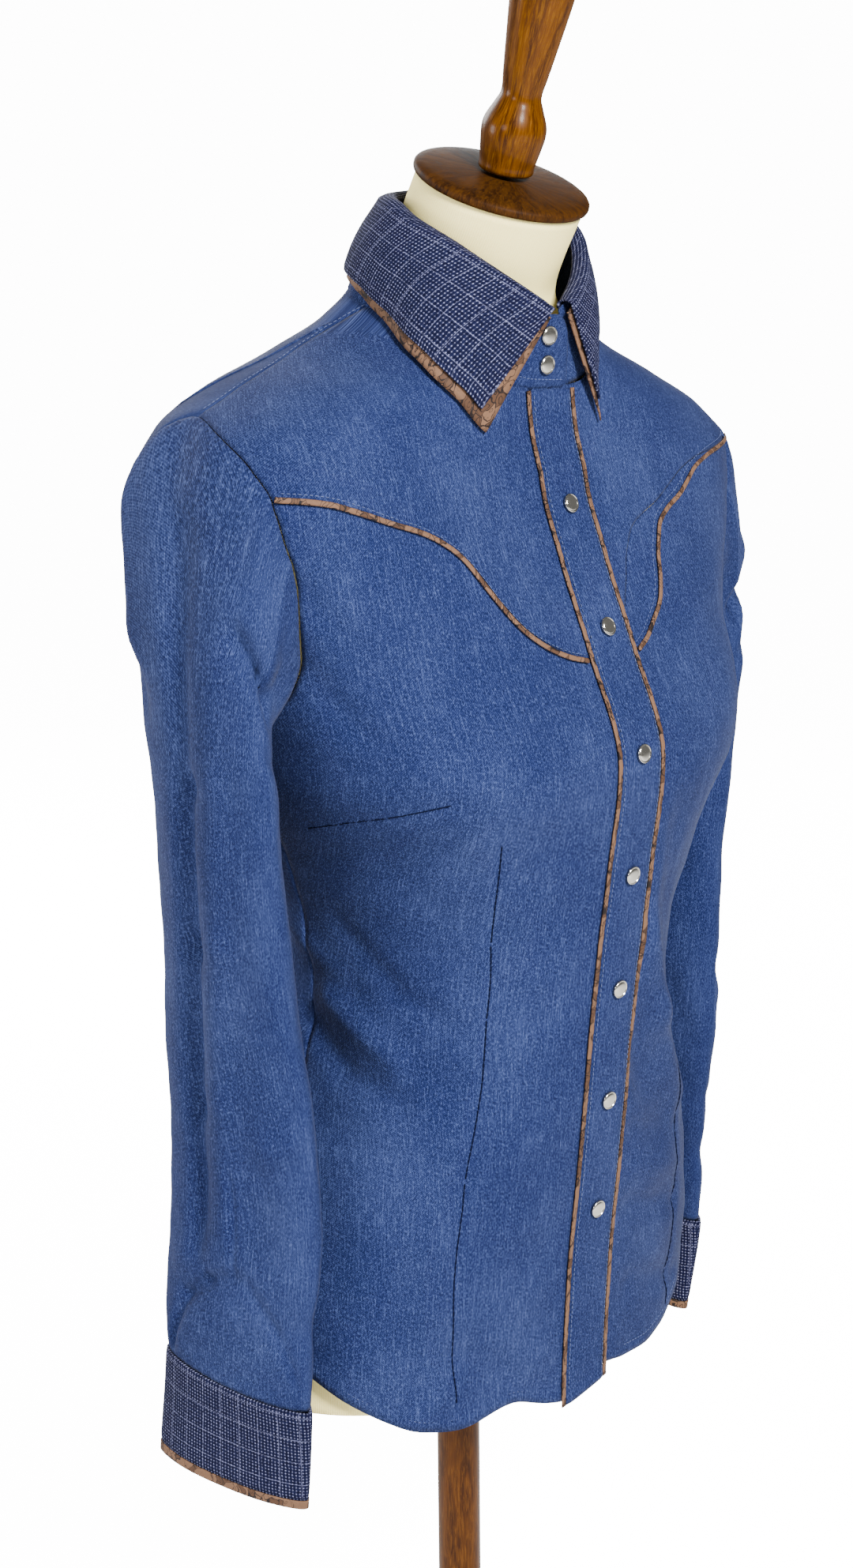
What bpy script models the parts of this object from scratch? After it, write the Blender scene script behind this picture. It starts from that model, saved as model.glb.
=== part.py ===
"""Western snap shirt on a limbless dress form.

Metres, +Z up, the wearer's front towards -Y and the wearer's right towards -X.
The origin lies on the underside of the stand's base.  Garment heights are counted
from the hem at the centre front, which hangs HEM_HEIGHT above the origin.
"""
import math

import bmesh
import bpy
import numpy as np
from mathutils import Matrix, Vector

# ---------------------------------------------------------------- driving dimensions
HEM_HEIGHT = 0.240            # centre front hem above the surface the stand rests on
WALL = 0.0012                 # cloth thickness
SEAM = 0.0003                 # gap between neighbouring pieces
LAY = 0.0009                  # gap under what lies on a panel
YOKE_LAY = 0.0010             # the same on the curved yoke seams
LEAN = 0.035                  # right shoulder sits higher: rise per metre of width
LEAN_IN, LEAN_OUT = (0.53, 0.60), (0.64, 0.70)

SEAM_DROP = 0.00030           # half the gap between a yoke and the panel below it
SIDE_GAP, SHOULDER_GAP = 0.0022, 0.0030     # half the gap at those seams, as a bearing
ARMHOLE_GAP = 0.0007
SEAM_EVEN = 0.3               # how much height counts in spacing a seam's columns
PANEL_COLUMNS, SHOULDER_COLUMNS, BACK_COLUMNS = 13, 5, 19

PLACKET_HALF = 0.0163         # half the width of the placket between its pipings
PLACKET_RISE = 0.0075         # how much higher the placket's hem is at the wearer's left
PIPING_WIDTH = 0.0030
PIPING_THICK = 0.0010
NECK_FRONT = 0.591            # height of the neckline at the centre front
UNDERLAP = 0.0150             # the left front reaches this far under the placket

SNAP_RADIUS = 0.0054
SNAP_HEIGHT = 0.0022
STAND_SNAPS = (0.6045, 0.6205)
STAND_SNAP_OUT = -0.004
PLACKET_SNAPS = (0.528, 0.462, 0.395, 0.325, 0.257, 0.189, 0.121)

FORM_BOTTOM = 0.018           # underside of the dress form
FINIAL_TILT = math.radians(16.5)
POLE_RADIUS = 0.013
BASE_RADIUS, BASE_THICK = 0.130, 0.018


def table(names, rows):
    """Columns of a short table by name."""
    return dict(zip(names.split(), np.array(rows, float).T))


# Sections of the worn body, a row for each height.
TORSO = table("height half_width front back centre round_front round_back", [
    (-0.060, 0.160, 0.106, 0.122, 0.005, 2.3, 2.2),
    (0.000, 0.166, 0.106, 0.120, 0.005, 2.2, 2.2),
    (0.080, 0.166, 0.109, 0.117, 0.004, 2.3, 2.2),
    (0.150, 0.152, 0.115, 0.108, 0.002, 2.3, 2.2),
    (0.220, 0.124, 0.121, 0.096, 0.000, 2.2, 2.2),
    (0.270, 0.117, 0.127, 0.090, 0.000, 2.2, 2.2),
    (0.330, 0.132, 0.135, 0.094, 0.000, 2.2, 2.2),
    (0.390, 0.163, 0.142, 0.106, 0.000, 2.3, 2.2),
    (0.450, 0.178, 0.125, 0.112, 0.004, 2.5, 2.3),
    (0.500, 0.197, 0.107, 0.112, 0.007, 2.9, 2.4),
    (0.540, 0.207, 0.093, 0.104, 0.007, 3.0, 2.5),
    (0.570, 0.186, 0.090, 0.091, 0.012, 2.9, 2.5),
    (0.592, 0.148, 0.091, 0.075, 0.015, 2.6, 2.4),
    (0.610, 0.108, 0.089, 0.058, 0.015, 2.2, 2.2),
    (0.628, 0.079, 0.082, 0.043, 0.010, 2.0, 2.0),
    (0.645, 0.067, 0.071, 0.036, 0.002, 2.0, 2.0),
    (0.660, 0.063, 0.066, 0.038, -0.001, 2.0, 2.0),
])
# Fullness that the bust darts give: depth, bearing and spread in radians, height and spread.
BUST = {"depth": 0.010, "bearing": 0.75, "spread": 0.42, "height": 0.385, "rise": 0.055}

# Seams of each front, in degrees round from the centre front, or in metres out from it.
YOKE_SEAM = {
    "right": table("out height", [
        (0.0180, 0.4470), (0.0310, 0.4505), (0.0438, 0.4562), (0.0574, 0.4658),
        (0.0689, 0.4796), (0.0796, 0.4965), (0.0888, 0.5098), (0.0994, 0.5183),
        (0.1106, 0.5244), (0.1268, 0.5305), (0.1486, 0.5390), (0.1608, 0.5427),
        (0.1739, 0.5446), (0.1860, 0.5454)]),
    "left": table("out height", [
        (0.0180, 0.4472), (0.0281, 0.4521), (0.0395, 0.4604), (0.0491, 0.4698),
        (0.0560, 0.4825), (0.0630, 0.4985), (0.0710, 0.5104), (0.0820, 0.5165),
        (0.0971, 0.5222), (0.1097, 0.5292), (0.1232, 0.5363), (0.1421, 0.5416),
        (0.1650, 0.5438), (0.1860, 0.5454)]),
}
HEM = {
    "right": table("bearing height", [
        (0, 0.000), (11.1, 0.005), (18.8, 0.011), (23.7, 0.010), (32.2, 0.006), (40.5, 0.009),
        (49.5, 0.018), (58.6, 0.030), (69.7, 0.046), (90, 0.062)]),
    "left": table("bearing height", [
        (0, 0.012), (6.3, 0.015), (13.8, 0.012), (21.8, 0.011), (29.4, 0.015), (36, 0.022),
        (43.2, 0.030), (53.9, 0.040), (69.6, 0.051), (90, 0.062)]),
}
BACK_HEM = table("bearing height", [
    (90, 0.062), (106.8, 0.045), (125.9, 0.014), (148.7, -0.012), (180, -0.020)])
# The armhole, clockwise from its front as seen from outside: 90 is the shoulder point,
# 180 the back and 270 the underarm.
ARMHOLE = table("clock bearing height", [
    (0, 54.3, 0.514), (23, 54.0, 0.532), (45, 55.4, 0.5462), (63, 63.3, 0.5610),
    (78, 79.7, 0.5735), (90, 96.0, 0.5797), (104, 107.7, 0.5745), (122, 116.3, 0.5600),
    (140, 120.2, 0.5400), (160, 121.7, 0.5150), (184, 120.8, 0.4860), (212, 115.5, 0.4570),
    (242, 104.9, 0.4370), (270, 90.0, 0.4275), (290, 75.5, 0.4320), (308, 68.0, 0.4450),
    (326, 61.5, 0.4690), (343, 56.4, 0.4950), (360, 54.3, 0.514)])
YOKE_CLOCK = 45.0             # where the front yoke seam meets the armhole
BACK_YOKE_CLOCK = 150.0       # where the back yoke seam meets it
# Columns of the sleeves; the panels have a corner at each of them along the armhole.
SLEEVE_CLOCK = (0, 16, 31, 45, 53, 61, 68, 75, 82, 90, 98, 106, 114, 124, 136, 150, 165, 181,
                198, 216, 234, 252, 270, 288, 306, 324, 342)
# Heights at the centre front where the fronts, yokes and placket all have a row.
FRONT_ROWS = (0.028, 0.057, 0.086, 0.115, 0.144, 0.172, 0.199, 0.226, 0.252, 0.277, 0.301, 0.324,
              0.346, 0.366, 0.384, 0.400, 0.416, 0.433)
SIDE_ROWS = (0.062, 0.098, 0.133, 0.165, 0.195, 0.222, 0.248, 0.274, 0.302, 0.334, 0.375, 0.4275)
YOKE_ROWS = (0.465, 0.485, 0.508, 0.533, 0.562)
YOKE_FRONT = 0.4470           # the front yoke seam at the placket
SHOULDER_SEAM = table("share bearing height", [
    (0.00, 80.0, 0.6358), (0.17, 86.3, 0.6271), (0.34, 89.8, 0.6194), (0.53, 91.5, 0.6080),
    (0.72, 91.8, 0.5973), (0.88, 93.3, 0.5872), (1.00, 96.0, 0.5797)])
BACK_YOKE_SEAM = table("bearing height", [
    (119.8, 0.531), (135, 0.525), (154.4, 0.519), (180, 0.517)])
NECKLINE = table("bearing height", [
    (0, 0.5910), (9.8, 0.5935), (17.4, 0.6010), (29, 0.6135), (45, 0.6235), (62, 0.6305),
    (80, 0.6358), (105, 0.6440), (135, 0.6510), (180, 0.6540)])

# Sleeves: rings from the cap down to the cuff.  width runs front to back, depth across.
SLEEVE = table("height out along width depth turn", [
    (0.440, 0.2030, -0.0080, 0.0600, 0.0205, 10.0),
    (0.400, 0.1960, -0.0085, 0.0572, 0.0213, 12.0),
    (0.340, 0.1897, -0.0052, 0.0561, 0.0228, 12.0),
    (0.270, 0.1829, -0.0033, 0.0555, 0.0228, 8.0),
    (0.200, 0.1796, -0.0067, 0.0558, 0.0222, 1.0),
    (0.140, 0.1825, -0.0105, 0.0545, 0.0201, -3.5),
    (0.090, 0.1876, -0.0100, 0.0523, 0.0173, -5.5),
    (0.050, 0.1898, -0.0095, 0.0500, 0.0148, -8.0),
    (-0.014, 0.1912, -0.0045, 0.0480, 0.0125, -14.0),
])
# The left sleeve hangs a little further back than the right one.
LEFT_SLEEVE_BACK = table("height shift", [
    (-0.014, 0.0200), (0.090, 0.0190), (0.140, 0.0150), (0.200, 0.0080), (0.340, 0.0120),
    (0.440, 0.0170)])
CUFF_TOP, CUFF_BOTTOM = 0.048, -0.0135
CUFF_PIPING = 0.0050
CUFF_SLOPE, LEVEL_ABOVE = 0.165, 0.170    # rings above LEVEL_ABOVE are level
CAP_END = 0.405                           # where the sleeve cap's loft meets the rings
SLEEVE_FOLDS = table("height clock long wide depth", [
    (0.446, 335, 0.022, 26, -0.0065), (0.425, 300, 0.016, 30, -0.0040),
    (0.440, 180, 0.018, 28, -0.0050), (0.500, 62, 0.080, 16, -0.0020),
    (0.088, 20, 0.012, 50, -0.0030), (0.150, 65, 0.035, 18, -0.0022)])

# Collar: the fold at the top of the stand, then the leaf's lower edge on the shoulders.
FOLD_HALF, FOLD_CENTRE, FOLD_FRONT, FOLD_BACK = 0.058, -0.030, -0.0806, 0.021
FOLD_ROUND_FRONT, FOLD_ROUND_BACK = 1.8, 2.0
FOLD_LINE = table("angle height", [
    (0, 0.6325), (18, 0.6435), (42, 0.6582), (66, 0.6726), (90, 0.6837), (114, 0.6926),
    (138, 0.6945), (180, 0.6950)])
LEAF_START = {"right": 2.4, "left": 6.2}  # degrees round the fold where each leaf begins
LEAF_EDGE = table("share right left height", [
    (0.00, 16.9, 11.9, 0.5705), (0.12, 25.5, 13.0, 0.5874), (0.24, 37.4, 16.5, 0.6010),
    (0.36, 53.5, 31.0, 0.6155), (0.48, 74.0, 66.0, 0.6317), (0.62, 95.0, 93.0, 0.6440),
    (0.80, 130.0, 130.0, 0.6500), (1.00, 180.0, 180.0, 0.6500)])
LEAF_WALL = 0.0010
LEAF_BOW = 0.0030
UNDER_OUT, TOP_OUT, TOP_INSIDE = 0.0024, 0.0048, 0.0046
UNDER_LEVEL, TOP_LEVEL = 0.0036, 0.0062
FOLD_RISE = 0.0016
TOP_START = (0.018, 0.058)    # shares of the fold and of the edge where the outer leaf begins
TOP_INNER_DROP = 0.0040
LEAF_COLUMNS = 15
STAND_TOP_DROP, STAND_INSIDE = 0.0024, 0.0002
STAND_TUCK = 0.0017           # how far inside its tab the stand's left end lies
TAB_BACK = 0.18               # how fast the tab's top runs back past the centre
STAND_RISE = 0.0016           # the stand starts this far above the neckline
STAND_END = 0.0150                        # the lapped end of the stand past the centre

# Dress form: how far it stays inside the cloth, and the rings of its neck.
FORM_COLUMNS = 30
FORM_SIDE = 0.181             # half its width where its sides are flat
FORM_INSET = table("height inset", [
    (0.018, 0.0062), (0.520, 0.0062), (0.560, 0.0068), (0.600, 0.0062), (0.630, 0.0045)])
NECK = table("height centre half front back tilt", [
    (0.6380, -0.003, 0.0580, 0.062, 0.035, 5.0), (0.6530, -0.012, 0.0520, 0.053, 0.039, 12.0),
    (0.6730, -0.026, 0.0480, 0.048, 0.046, 18.0), (0.6980, -0.0405, 0.0475, 0.0475, 0.0475, 20.9)])
# Turned outlines as (radius, height), from the top down.
CAP_PROFILE = [(0.0, 0.0085), (0.016, 0.0082), (0.035, 0.0070), (0.0470, 0.0055), (0.0500, 0.0040),
               (0.0500, 0.0012), (0.0490, 0.0), (0.0, 0.0)]
FINIAL_PROFILE = [
    (0.0, 0.1330), (0.0100, 0.1310), (0.0165, 0.1260), (0.0190, 0.1180), (0.0176, 0.0980),
    (0.0150, 0.0755), (0.0126, 0.0560), (0.0113, 0.0450), (0.0135, 0.0385), (0.0172, 0.0300),
    (0.0180, 0.0240), (0.0172, 0.0170), (0.0155, 0.0070), (0.0145, 0.0018), (0.0060, 0.0003), (0.0, 0.0)]

COLOURS = {
    "denim": (0.075, 0.145, 0.335), "tweed": (0.045, 0.075, 0.210), "paisley": (0.330, 0.190, 0.120),
    "nickel": (0.80, 0.78, 0.74), "jersey": (0.86, 0.79, 0.62), "cap_wood": (0.16, 0.055, 0.022),
    "finial_wood": (0.33, 0.115, 0.025), "stand_wood": (0.20, 0.075, 0.030),
}
ROUGHNESS = {"denim": 0.85, "tweed": 0.9, "paisley": 0.8, "nickel": 0.2, "jersey": 0.9,
             "cap_wood": 0.3, "finial_wood": 0.35, "stand_wood": 0.4}
SIDES = {"right": -1.0, "left": 1.0}


# ---------------------------------------------------------------- curves and surfaces
def smooth(x, xs, ys):
    """Monotone cubic through (xs, ys), level beyond the ends."""
    x = np.clip(np.asarray(x, float), xs[0], xs[-1])
    step = np.diff(xs)
    slope = np.diff(ys) / step
    tangent = np.concatenate([slope[:1], np.zeros(len(xs) - 2), slope[-1:]])
    same = slope[1:] * slope[:-1] > 0
    w1, w2 = 2 * step[1:] + step[:-1], step[1:] + 2 * step[:-1]
    before, after = np.where(same, slope[:-1], 1.0), np.where(same, slope[1:], 1.0)
    tangent[1:-1] = np.where(same, (w1 + w2) / (w1 / before + w2 / after), 0.0)
    i = np.clip(np.searchsorted(xs, x) - 1, 0, len(xs) - 2)
    t = (x - xs[i]) / step[i]
    return (ys[i] * (1 + 2 * t) * (1 - t) ** 2 + tangent[i] * step[i] * t * (1 - t) ** 2
            + ys[i + 1] * t * t * (3 - 2 * t) + tangent[i + 1] * step[i] * t * t * (t - 1))


def column(data, key, x, name):
    """Column `name` of a table read at `x` along its column `key`."""
    order = np.argsort(data[key])
    return smooth(x, data[key][order], data[name][order])


def ease(x, low, high):
    t = np.clip((np.asarray(x, float) - low) / (high - low), 0.0, 1.0)
    return t * t * (3 - 2 * t)


def superellipse(angle, half, front, back, centre, round_front, round_back):
    """A flattened ring by its polar angle: 0 at the front (-Y), 90 degrees at +X."""
    s, c = np.sin(angle), np.cos(angle)
    power = np.where(c > 0, round_front, round_back)
    depth = np.where(c > 0, front, back)
    reach = (np.abs(s) ** power + np.abs(c) ** power) ** (-1 / power)
    return half * s * reach, centre - depth * c * reach


def torso_raw(angle, height):
    angle, height = np.broadcast_arrays(np.asarray(angle, float), np.asarray(height, float))
    half, front, back, centre, nf, nb = [
        column(TORSO, "height", height, name)
        for name in ("half_width", "front", "back", "centre", "round_front", "round_back")]
    x, y = superellipse(angle, half, front, back, centre, nf, nb)
    swell = BUST["depth"] * np.exp(-((np.abs(angle) - BUST["bearing"]) / BUST["spread"]) ** 2
                                   - ((height - BUST["height"]) / BUST["rise"]) ** 2)
    return np.stack([x + 0.6 * swell * np.sin(angle), y - swell * np.cos(angle), height], -1)


def torso(angle, height, out=0.0):
    """The cloth's outer surface, moved out along its normal."""
    point = torso_raw(angle, height)
    nudge = 1e-4
    across = torso_raw(angle + nudge, height) - torso_raw(angle - nudge, height)
    up = torso_raw(angle, height + nudge) - torso_raw(angle, height - nudge)
    normal = np.cross(across, up)
    normal /= np.linalg.norm(normal, axis=-1, keepdims=True)
    return point + np.asarray(out)[..., None] * normal


def bearing_of(out, height):
    """Bearing on the front half of a point `out` metres from the centre front."""
    share = np.clip(np.asarray(out) / column(TORSO, "height", height, "half_width"), -1, 1)
    power = column(TORSO, "height", height, "round_front")
    return np.arctan2(share, (1 - np.abs(share) ** power) ** (1 / power))


def settle(points):
    """Garment heights to the part's frame, with the slight lean of the shoulders."""
    points = np.array(points, float)
    share = ease(points[..., 2], *LEAN_IN) - ease(points[..., 2], *LEAN_OUT)
    points[..., 2] += HEM_HEIGHT - LEAN * points[..., 0] * share
    return points


def by_length(points, count):
    """`count` points along a polyline, evenly spaced."""
    points = np.asarray(points, float)
    length = np.concatenate([[0], np.cumsum(np.linalg.norm(np.diff(points, axis=0), axis=1))])
    spots = np.linspace(0, length[-1], count)
    return np.stack([np.interp(spots, length, points[:, k])
                     for k in range(points.shape[1])], -1)


def coons(bottom, top, left, right):
    """Grid of (bearing, height) between four edges, rows going up and columns across."""
    rise = left[:, 1] + right[:, 1]
    v = ((rise - rise[0]) / (rise[-1] - rise[0]))[:, None, None]
    u = np.linspace(0, 1, len(bottom))[None, :, None]
    ruled_u = (1 - u) * left[:, None] + u * right[:, None]
    ruled_v = (1 - v) * bottom[None] + v * top[None]
    corners = ((1 - u) * (1 - v) * bottom[0] + u * (1 - v) * bottom[-1]
               + (1 - u) * v * top[0] + u * v * top[-1])
    return ruled_u + ruled_v - corners


# ---------------------------------------------------------------- Blender objects
def material(name):
    found = bpy.data.materials.get(name)
    if found:
        return found
    made = bpy.data.materials.new(name)
    made.use_nodes = True
    shader = made.node_tree.nodes["Principled BSDF"]
    shader.inputs["Base Color"].default_value = (*COLOURS[name], 1)
    shader.inputs["Roughness"].default_value = ROUGHNESS[name]
    shader.inputs["Metallic"].default_value = 1.0 if name == "nickel" else 0.0
    return made


def add_object(name, mesh, finish):
    made = bpy.data.objects.new(name, mesh)
    mesh.materials.clear()
    mesh.materials.append(material(finish).copy())
    mesh.materials[0].name = name
    PARTS.objects.link(made)
    mesh.shade_smooth()
    mesh.set_sharp_from_angle(angle=math.radians(40))
    return made


def sheet_mesh(name, grid, closed=False, flip=False):
    """Quads over a grid of points; rows go up and columns turn with the sun's bearing."""
    rows, columns = grid.shape[:2]
    form = bmesh.new()
    verts = [[form.verts.new(point) for point in row] for row in grid]
    for i in range(rows - 1):
        for j in range(columns if closed else columns - 1):
            k = (j + 1) % columns
            corners = [verts[i][j], verts[i][k], verts[i + 1][k], verts[i + 1][j]]
            form.faces.new(corners[::-1] if flip else corners)
    form.normal_update()
    mesh = bpy.data.meshes.new(name)
    form.to_mesh(mesh)
    form.free()
    return mesh


def wall(name, grid, finish, thickness=WALL, closed=False, flip=False):
    """A cloth wall: the grid is its outer side and the thickness goes in."""
    made = add_object(name, sheet_mesh(name, settle(grid), closed, flip), finish)
    solid = made.modifiers.new("thickness", "SOLIDIFY")
    solid.thickness = thickness
    solid.offset = -1
    solid.use_quality_normals = True
    return made


def turned(name, profile, finish, segments, base, tilt=0.0):
    """A turned solid: profile of (radius, height) from the top down, on a tilted axis."""
    form = bmesh.new()
    verts = [form.verts.new((radius, 0, height)) for radius, height in profile]
    for a, b in zip(verts, verts[1:]):
        form.edges.new((a, b))
    mesh = bpy.data.meshes.new(name)
    form.to_mesh(mesh)
    form.free()
    made = add_object(name, mesh, finish)
    made.location = (base[0], base[1], base[2] + HEM_HEIGHT)
    made.rotation_euler = (tilt, 0, 0)
    screw = made.modifiers.new("turn", "SCREW")
    screw.steps = screw.render_steps = segments
    screw.use_merge_vertices = True
    screw.merge_threshold = 0.00005
    screw.use_smooth_shade = True
    return made


# ---------------------------------------------------------------- fronts, yokes and back
def armhole_edge(side, low, high):
    """(bearing, height) along the armhole between two clock angles, at the sleeve's columns."""
    clocks = [clock + turn for turn in (0.0, 360.0) for clock in SLEEVE_CLOCK]
    clock = np.array([at for at in clocks if min(low, high) <= at <= max(low, high)])
    clock = np.sort(clock)[::1 if high >= low else -1] % 360.0
    return np.stack([SIDES[side] * np.radians(column(ARMHOLE, "clock", clock, "bearing")),
                     column(ARMHOLE, "clock", clock, "height")], -1)


def yoke_seam(side, inner, columns, above=0.0):
    """(bearing, height) of the front yoke seam, `inner` metres out to the armhole.

    `above` moves it across itself, towards the shoulder.
    """
    data = YOKE_SEAM[side]
    spread = by_length(np.stack([data["out"], SEAM_EVEN * data["height"]], -1), columns)
    spread[:, 1] = smooth(spread[:, 0], data["out"], data["height"])
    near, far = data["out"][0], data["out"][-1]
    spread[:, 0] = inner + (spread[:, 0] - near) * (far - inner) / (far - near)
    run = np.gradient(spread, axis=0)
    run /= np.linalg.norm(run, axis=1, keepdims=True)
    out, height = spread[:, 0] - above * run[:, 1], spread[:, 1] + above * run[:, 0]
    seam = np.stack([SIDES[side] * bearing_of(out, height), height], -1)
    end = armhole_edge(side, YOKE_CLOCK, YOKE_CLOCK)[0] + (0, above)
    return seam + (end - seam[-1]) * (np.linspace(0, 1, columns) ** 4)[:, None]


def side_seam(bearing):
    return np.stack([np.full(len(SIDE_ROWS), bearing), SIDE_ROWS], -1)


def hem_height(side, bearing):
    return column(HEM[side], "bearing", np.degrees(np.abs(bearing)), "height")


def front_panel(side, inner):
    """The front below the yoke, from `inner` metres out to the side seam."""
    sign = SIDES[side]
    arm = armhole_edge(side, 270, 360 + YOKE_CLOCK)
    start = float(hem_height(side, bearing_of(abs(inner), 0.0)))
    seam = yoke_seam(side, inner, PANEL_COLUMNS, -SEAM_DROP)
    edge_z = np.array([start, *FRONT_ROWS, seam[0, 1]])
    inner_edge = np.stack([sign * bearing_of(inner, edge_z), edge_z], -1)
    outer_edge = np.concatenate([side_seam(sign * (math.pi / 2 - SIDE_GAP)), arm[1:]])
    outer_edge[-1] = seam[-1]
    bearing = np.linspace(inner_edge[0, 0], outer_edge[0, 0], PANEL_COLUMNS)
    hem = np.stack([bearing, hem_height(side, bearing)], -1)
    hem[0], hem[-1] = inner_edge[0], outer_edge[0]
    return coons(hem, seam, inner_edge, outer_edge)


def neckline(low, high, count):
    """(bearing, height) along the neckline between two bearings, evenly spaced."""
    bearing = np.linspace(low, high, 8 * count)
    height = column(NECKLINE, "bearing", np.degrees(np.abs(bearing)), "height")
    step = np.linalg.norm(np.diff(torso(bearing, height), axis=0), axis=1)
    length = np.concatenate([[0], np.cumsum(step)])
    bearing = np.interp(np.linspace(0, length[-1], count), length, bearing)
    return np.stack([bearing, column(NECKLINE, "bearing", np.degrees(np.abs(bearing)), "height")], -1)


def shoulder_seam(side, shift):
    """(bearing, height) from the neck to the armhole, `shift` towards the front or back."""
    share = np.linspace(0, 1, SHOULDER_COLUMNS)
    bearing = np.radians(column(SHOULDER_SEAM, "share", share, "bearing")) + shift
    return np.stack([SIDES[side] * bearing, column(SHOULDER_SEAM, "share", share, "height")], -1)


def front_yoke(side, inner):
    sign = SIDES[side]
    seam = yoke_seam(side, inner, PANEL_COLUMNS, SEAM_DROP)
    start = sign * float(bearing_of(inner, NECK_FRONT))
    shoulder = shoulder_seam(side, -SHOULDER_GAP)
    neck = neckline(start, shoulder[0, 0], PANEL_COLUMNS - SHOULDER_COLUMNS + 1)
    top = np.concatenate([neck[:-1], shoulder])
    edge_z = np.array([seam[0, 1], *YOKE_ROWS, top[0, 1]])
    inner_edge = np.stack([sign * bearing_of(inner, edge_z), edge_z], -1)
    inner_edge[-1] = top[0]
    outer_edge = armhole_edge(side, YOKE_CLOCK, 90)
    outer_edge[0], outer_edge[-1] = seam[-1], top[-1]
    return coons(seam, top, inner_edge, outer_edge)


def behind(path):
    """A left-hand path of (bearing, height) mirrored to the right, its bearings past 180."""
    mirrored = path.copy()
    mirrored[:, 0] = 2 * math.pi - path[:, 0]
    return mirrored


def back_yoke_seam(shift):
    ends = math.radians(float(column(ARMHOLE, "clock", BACK_YOKE_CLOCK, "bearing")))
    bearing = np.linspace(ends, 2 * math.pi - ends, BACK_COLUMNS)
    fold = np.degrees(np.minimum(bearing, 2 * math.pi - bearing))
    return np.stack([bearing, column(BACK_YOKE_SEAM, "bearing", fold, "height") + shift], -1)


def back_panel():
    arm = armhole_edge("left", 270, BACK_YOKE_CLOCK)
    left = np.concatenate([side_seam(math.pi / 2 + SIDE_GAP), arm[1:]])
    right = behind(left)
    seam = back_yoke_seam(-SEAM_DROP)
    left[-1], right[-1] = seam[0], seam[-1]
    bearing = np.linspace(left[0, 0], right[0, 0], BACK_COLUMNS)
    fold = np.degrees(np.minimum(bearing, 2 * math.pi - bearing))
    hem = np.stack([bearing, column(BACK_HEM, "bearing", fold, "height")], -1)
    return coons(hem, seam, left, right)


def back_yoke():
    seam = back_yoke_seam(SEAM_DROP)
    shoulder = shoulder_seam("left", SHOULDER_GAP)[::-1]
    neck = neckline(shoulder[-1, 0], math.pi, BACK_COLUMNS // 2 + 2 - SHOULDER_COLUMNS)
    half = np.concatenate([shoulder[:-1], neck])
    top = np.concatenate([half, behind(half)[::-1][1:]])
    left = armhole_edge("left", BACK_YOKE_CLOCK, 90)
    left[0], left[-1] = seam[0], top[0]
    return coons(seam, top, left, behind(left))


def right_front_edge():
    """Where the right front starts, out from the centre, beyond its placket and piping."""
    return PLACKET_HALF + SEAM + PIPING_WIDTH + SEAM


def make_body():
    for side, sign in SIDES.items():
        inner = right_front_edge() if side == "right" else -UNDERLAP
        for name, grid in ((side + "_front", front_panel(side, inner)),
                           (side + "_front_yoke", front_yoke(side, inner))):
            wall(name, torso(grid[..., 0], grid[..., 1]), "denim", flip=sign < 0)
    for name, grid in (("back", back_panel()), ("back_yoke", back_yoke())):
        wall(name, torso(grid[..., 0], grid[..., 1]), "denim")


# ---------------------------------------------------------------- placket and pipings
def strip_on_torso(name, path, width, level, thickness, finish):
    """A flat strip laid along a path of (bearing, height), its underside `level` out."""
    centre = torso(path[:, 0], path[:, 1], level + thickness)
    ahead = np.gradient(centre, axis=0)
    normal = torso(path[:, 0], path[:, 1], 0.01) - torso(path[:, 0], path[:, 1], 0.0)
    aside = np.cross(ahead, normal)
    aside /= np.linalg.norm(aside, axis=1, keepdims=True)
    half = 0.5 * width * aside
    wall(name, np.stack([centre + half, centre - half]), finish, thickness)


def front_strip(name, low, high, finish, thickness, across):
    """A strip between two distances from the centre front, from the hem to the neck."""
    height = np.array([0.0, *FRONT_ROWS, YOKE_FRONT, *YOKE_ROWS, NECK_FRONT - SEAM])
    z, out = np.meshgrid(height, np.linspace(low, high, across), indexing="ij")
    z[0] = PLACKET_RISE * (0.5 + out[0] / (2 * PLACKET_HALF))
    wall(name, torso(bearing_of(out, z), z, LAY + thickness), finish, thickness)


def make_placket():
    edge = PLACKET_HALF + SEAM
    front_strip("placket", -PLACKET_HALF, PLACKET_HALF, "denim", WALL, 5)
    front_strip("right_placket_piping", -edge - PIPING_WIDTH, -edge, "paisley", PIPING_THICK, 2)
    front_strip("left_placket_piping", edge, edge + PIPING_WIDTH, "paisley", PIPING_THICK, 2)


def make_yoke_pipings():
    start = right_front_edge() + PIPING_WIDTH / 2
    for side, sign in SIDES.items():
        path = yoke_seam(side, start, 2 * PANEL_COLUMNS)[:-1]
        path = path if sign < 0 else path[::-1]
        strip_on_torso(side + "_yoke_piping", path, PIPING_WIDTH, YOKE_LAY, PIPING_THICK, "paisley")


# ---------------------------------------------------------------- sleeves and cuffs
def sleeve_ring(side, height, clock, grow=0.0):
    """Points of the sleeve's section at a height; clock 0 is the front, 90 the outside."""
    height, clock = np.broadcast_arrays(np.asarray(height, float), np.asarray(clock, float))
    out, along, width, depth, turn = [
        column(SLEEVE, "height", height, name) for name in ("out", "along", "width", "depth", "turn")]
    if side == "left":
        along = along + column(LEFT_SLEEVE_BACK, "height", height, "shift")
    turn = np.radians(turn)
    forward = (width + grow) * np.cos(clock)
    aside = (depth + grow) * np.sin(clock)
    x = out + aside * np.cos(turn) + forward * np.sin(turn)
    y = along - forward * np.cos(turn) + aside * np.sin(turn)
    slope = CUFF_SLOPE * (1 - ease(height, CUFF_TOP, LEVEL_ABOVE))
    return np.stack([SIDES[side] * x, y, height + slope * (y - along)], -1)


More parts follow.
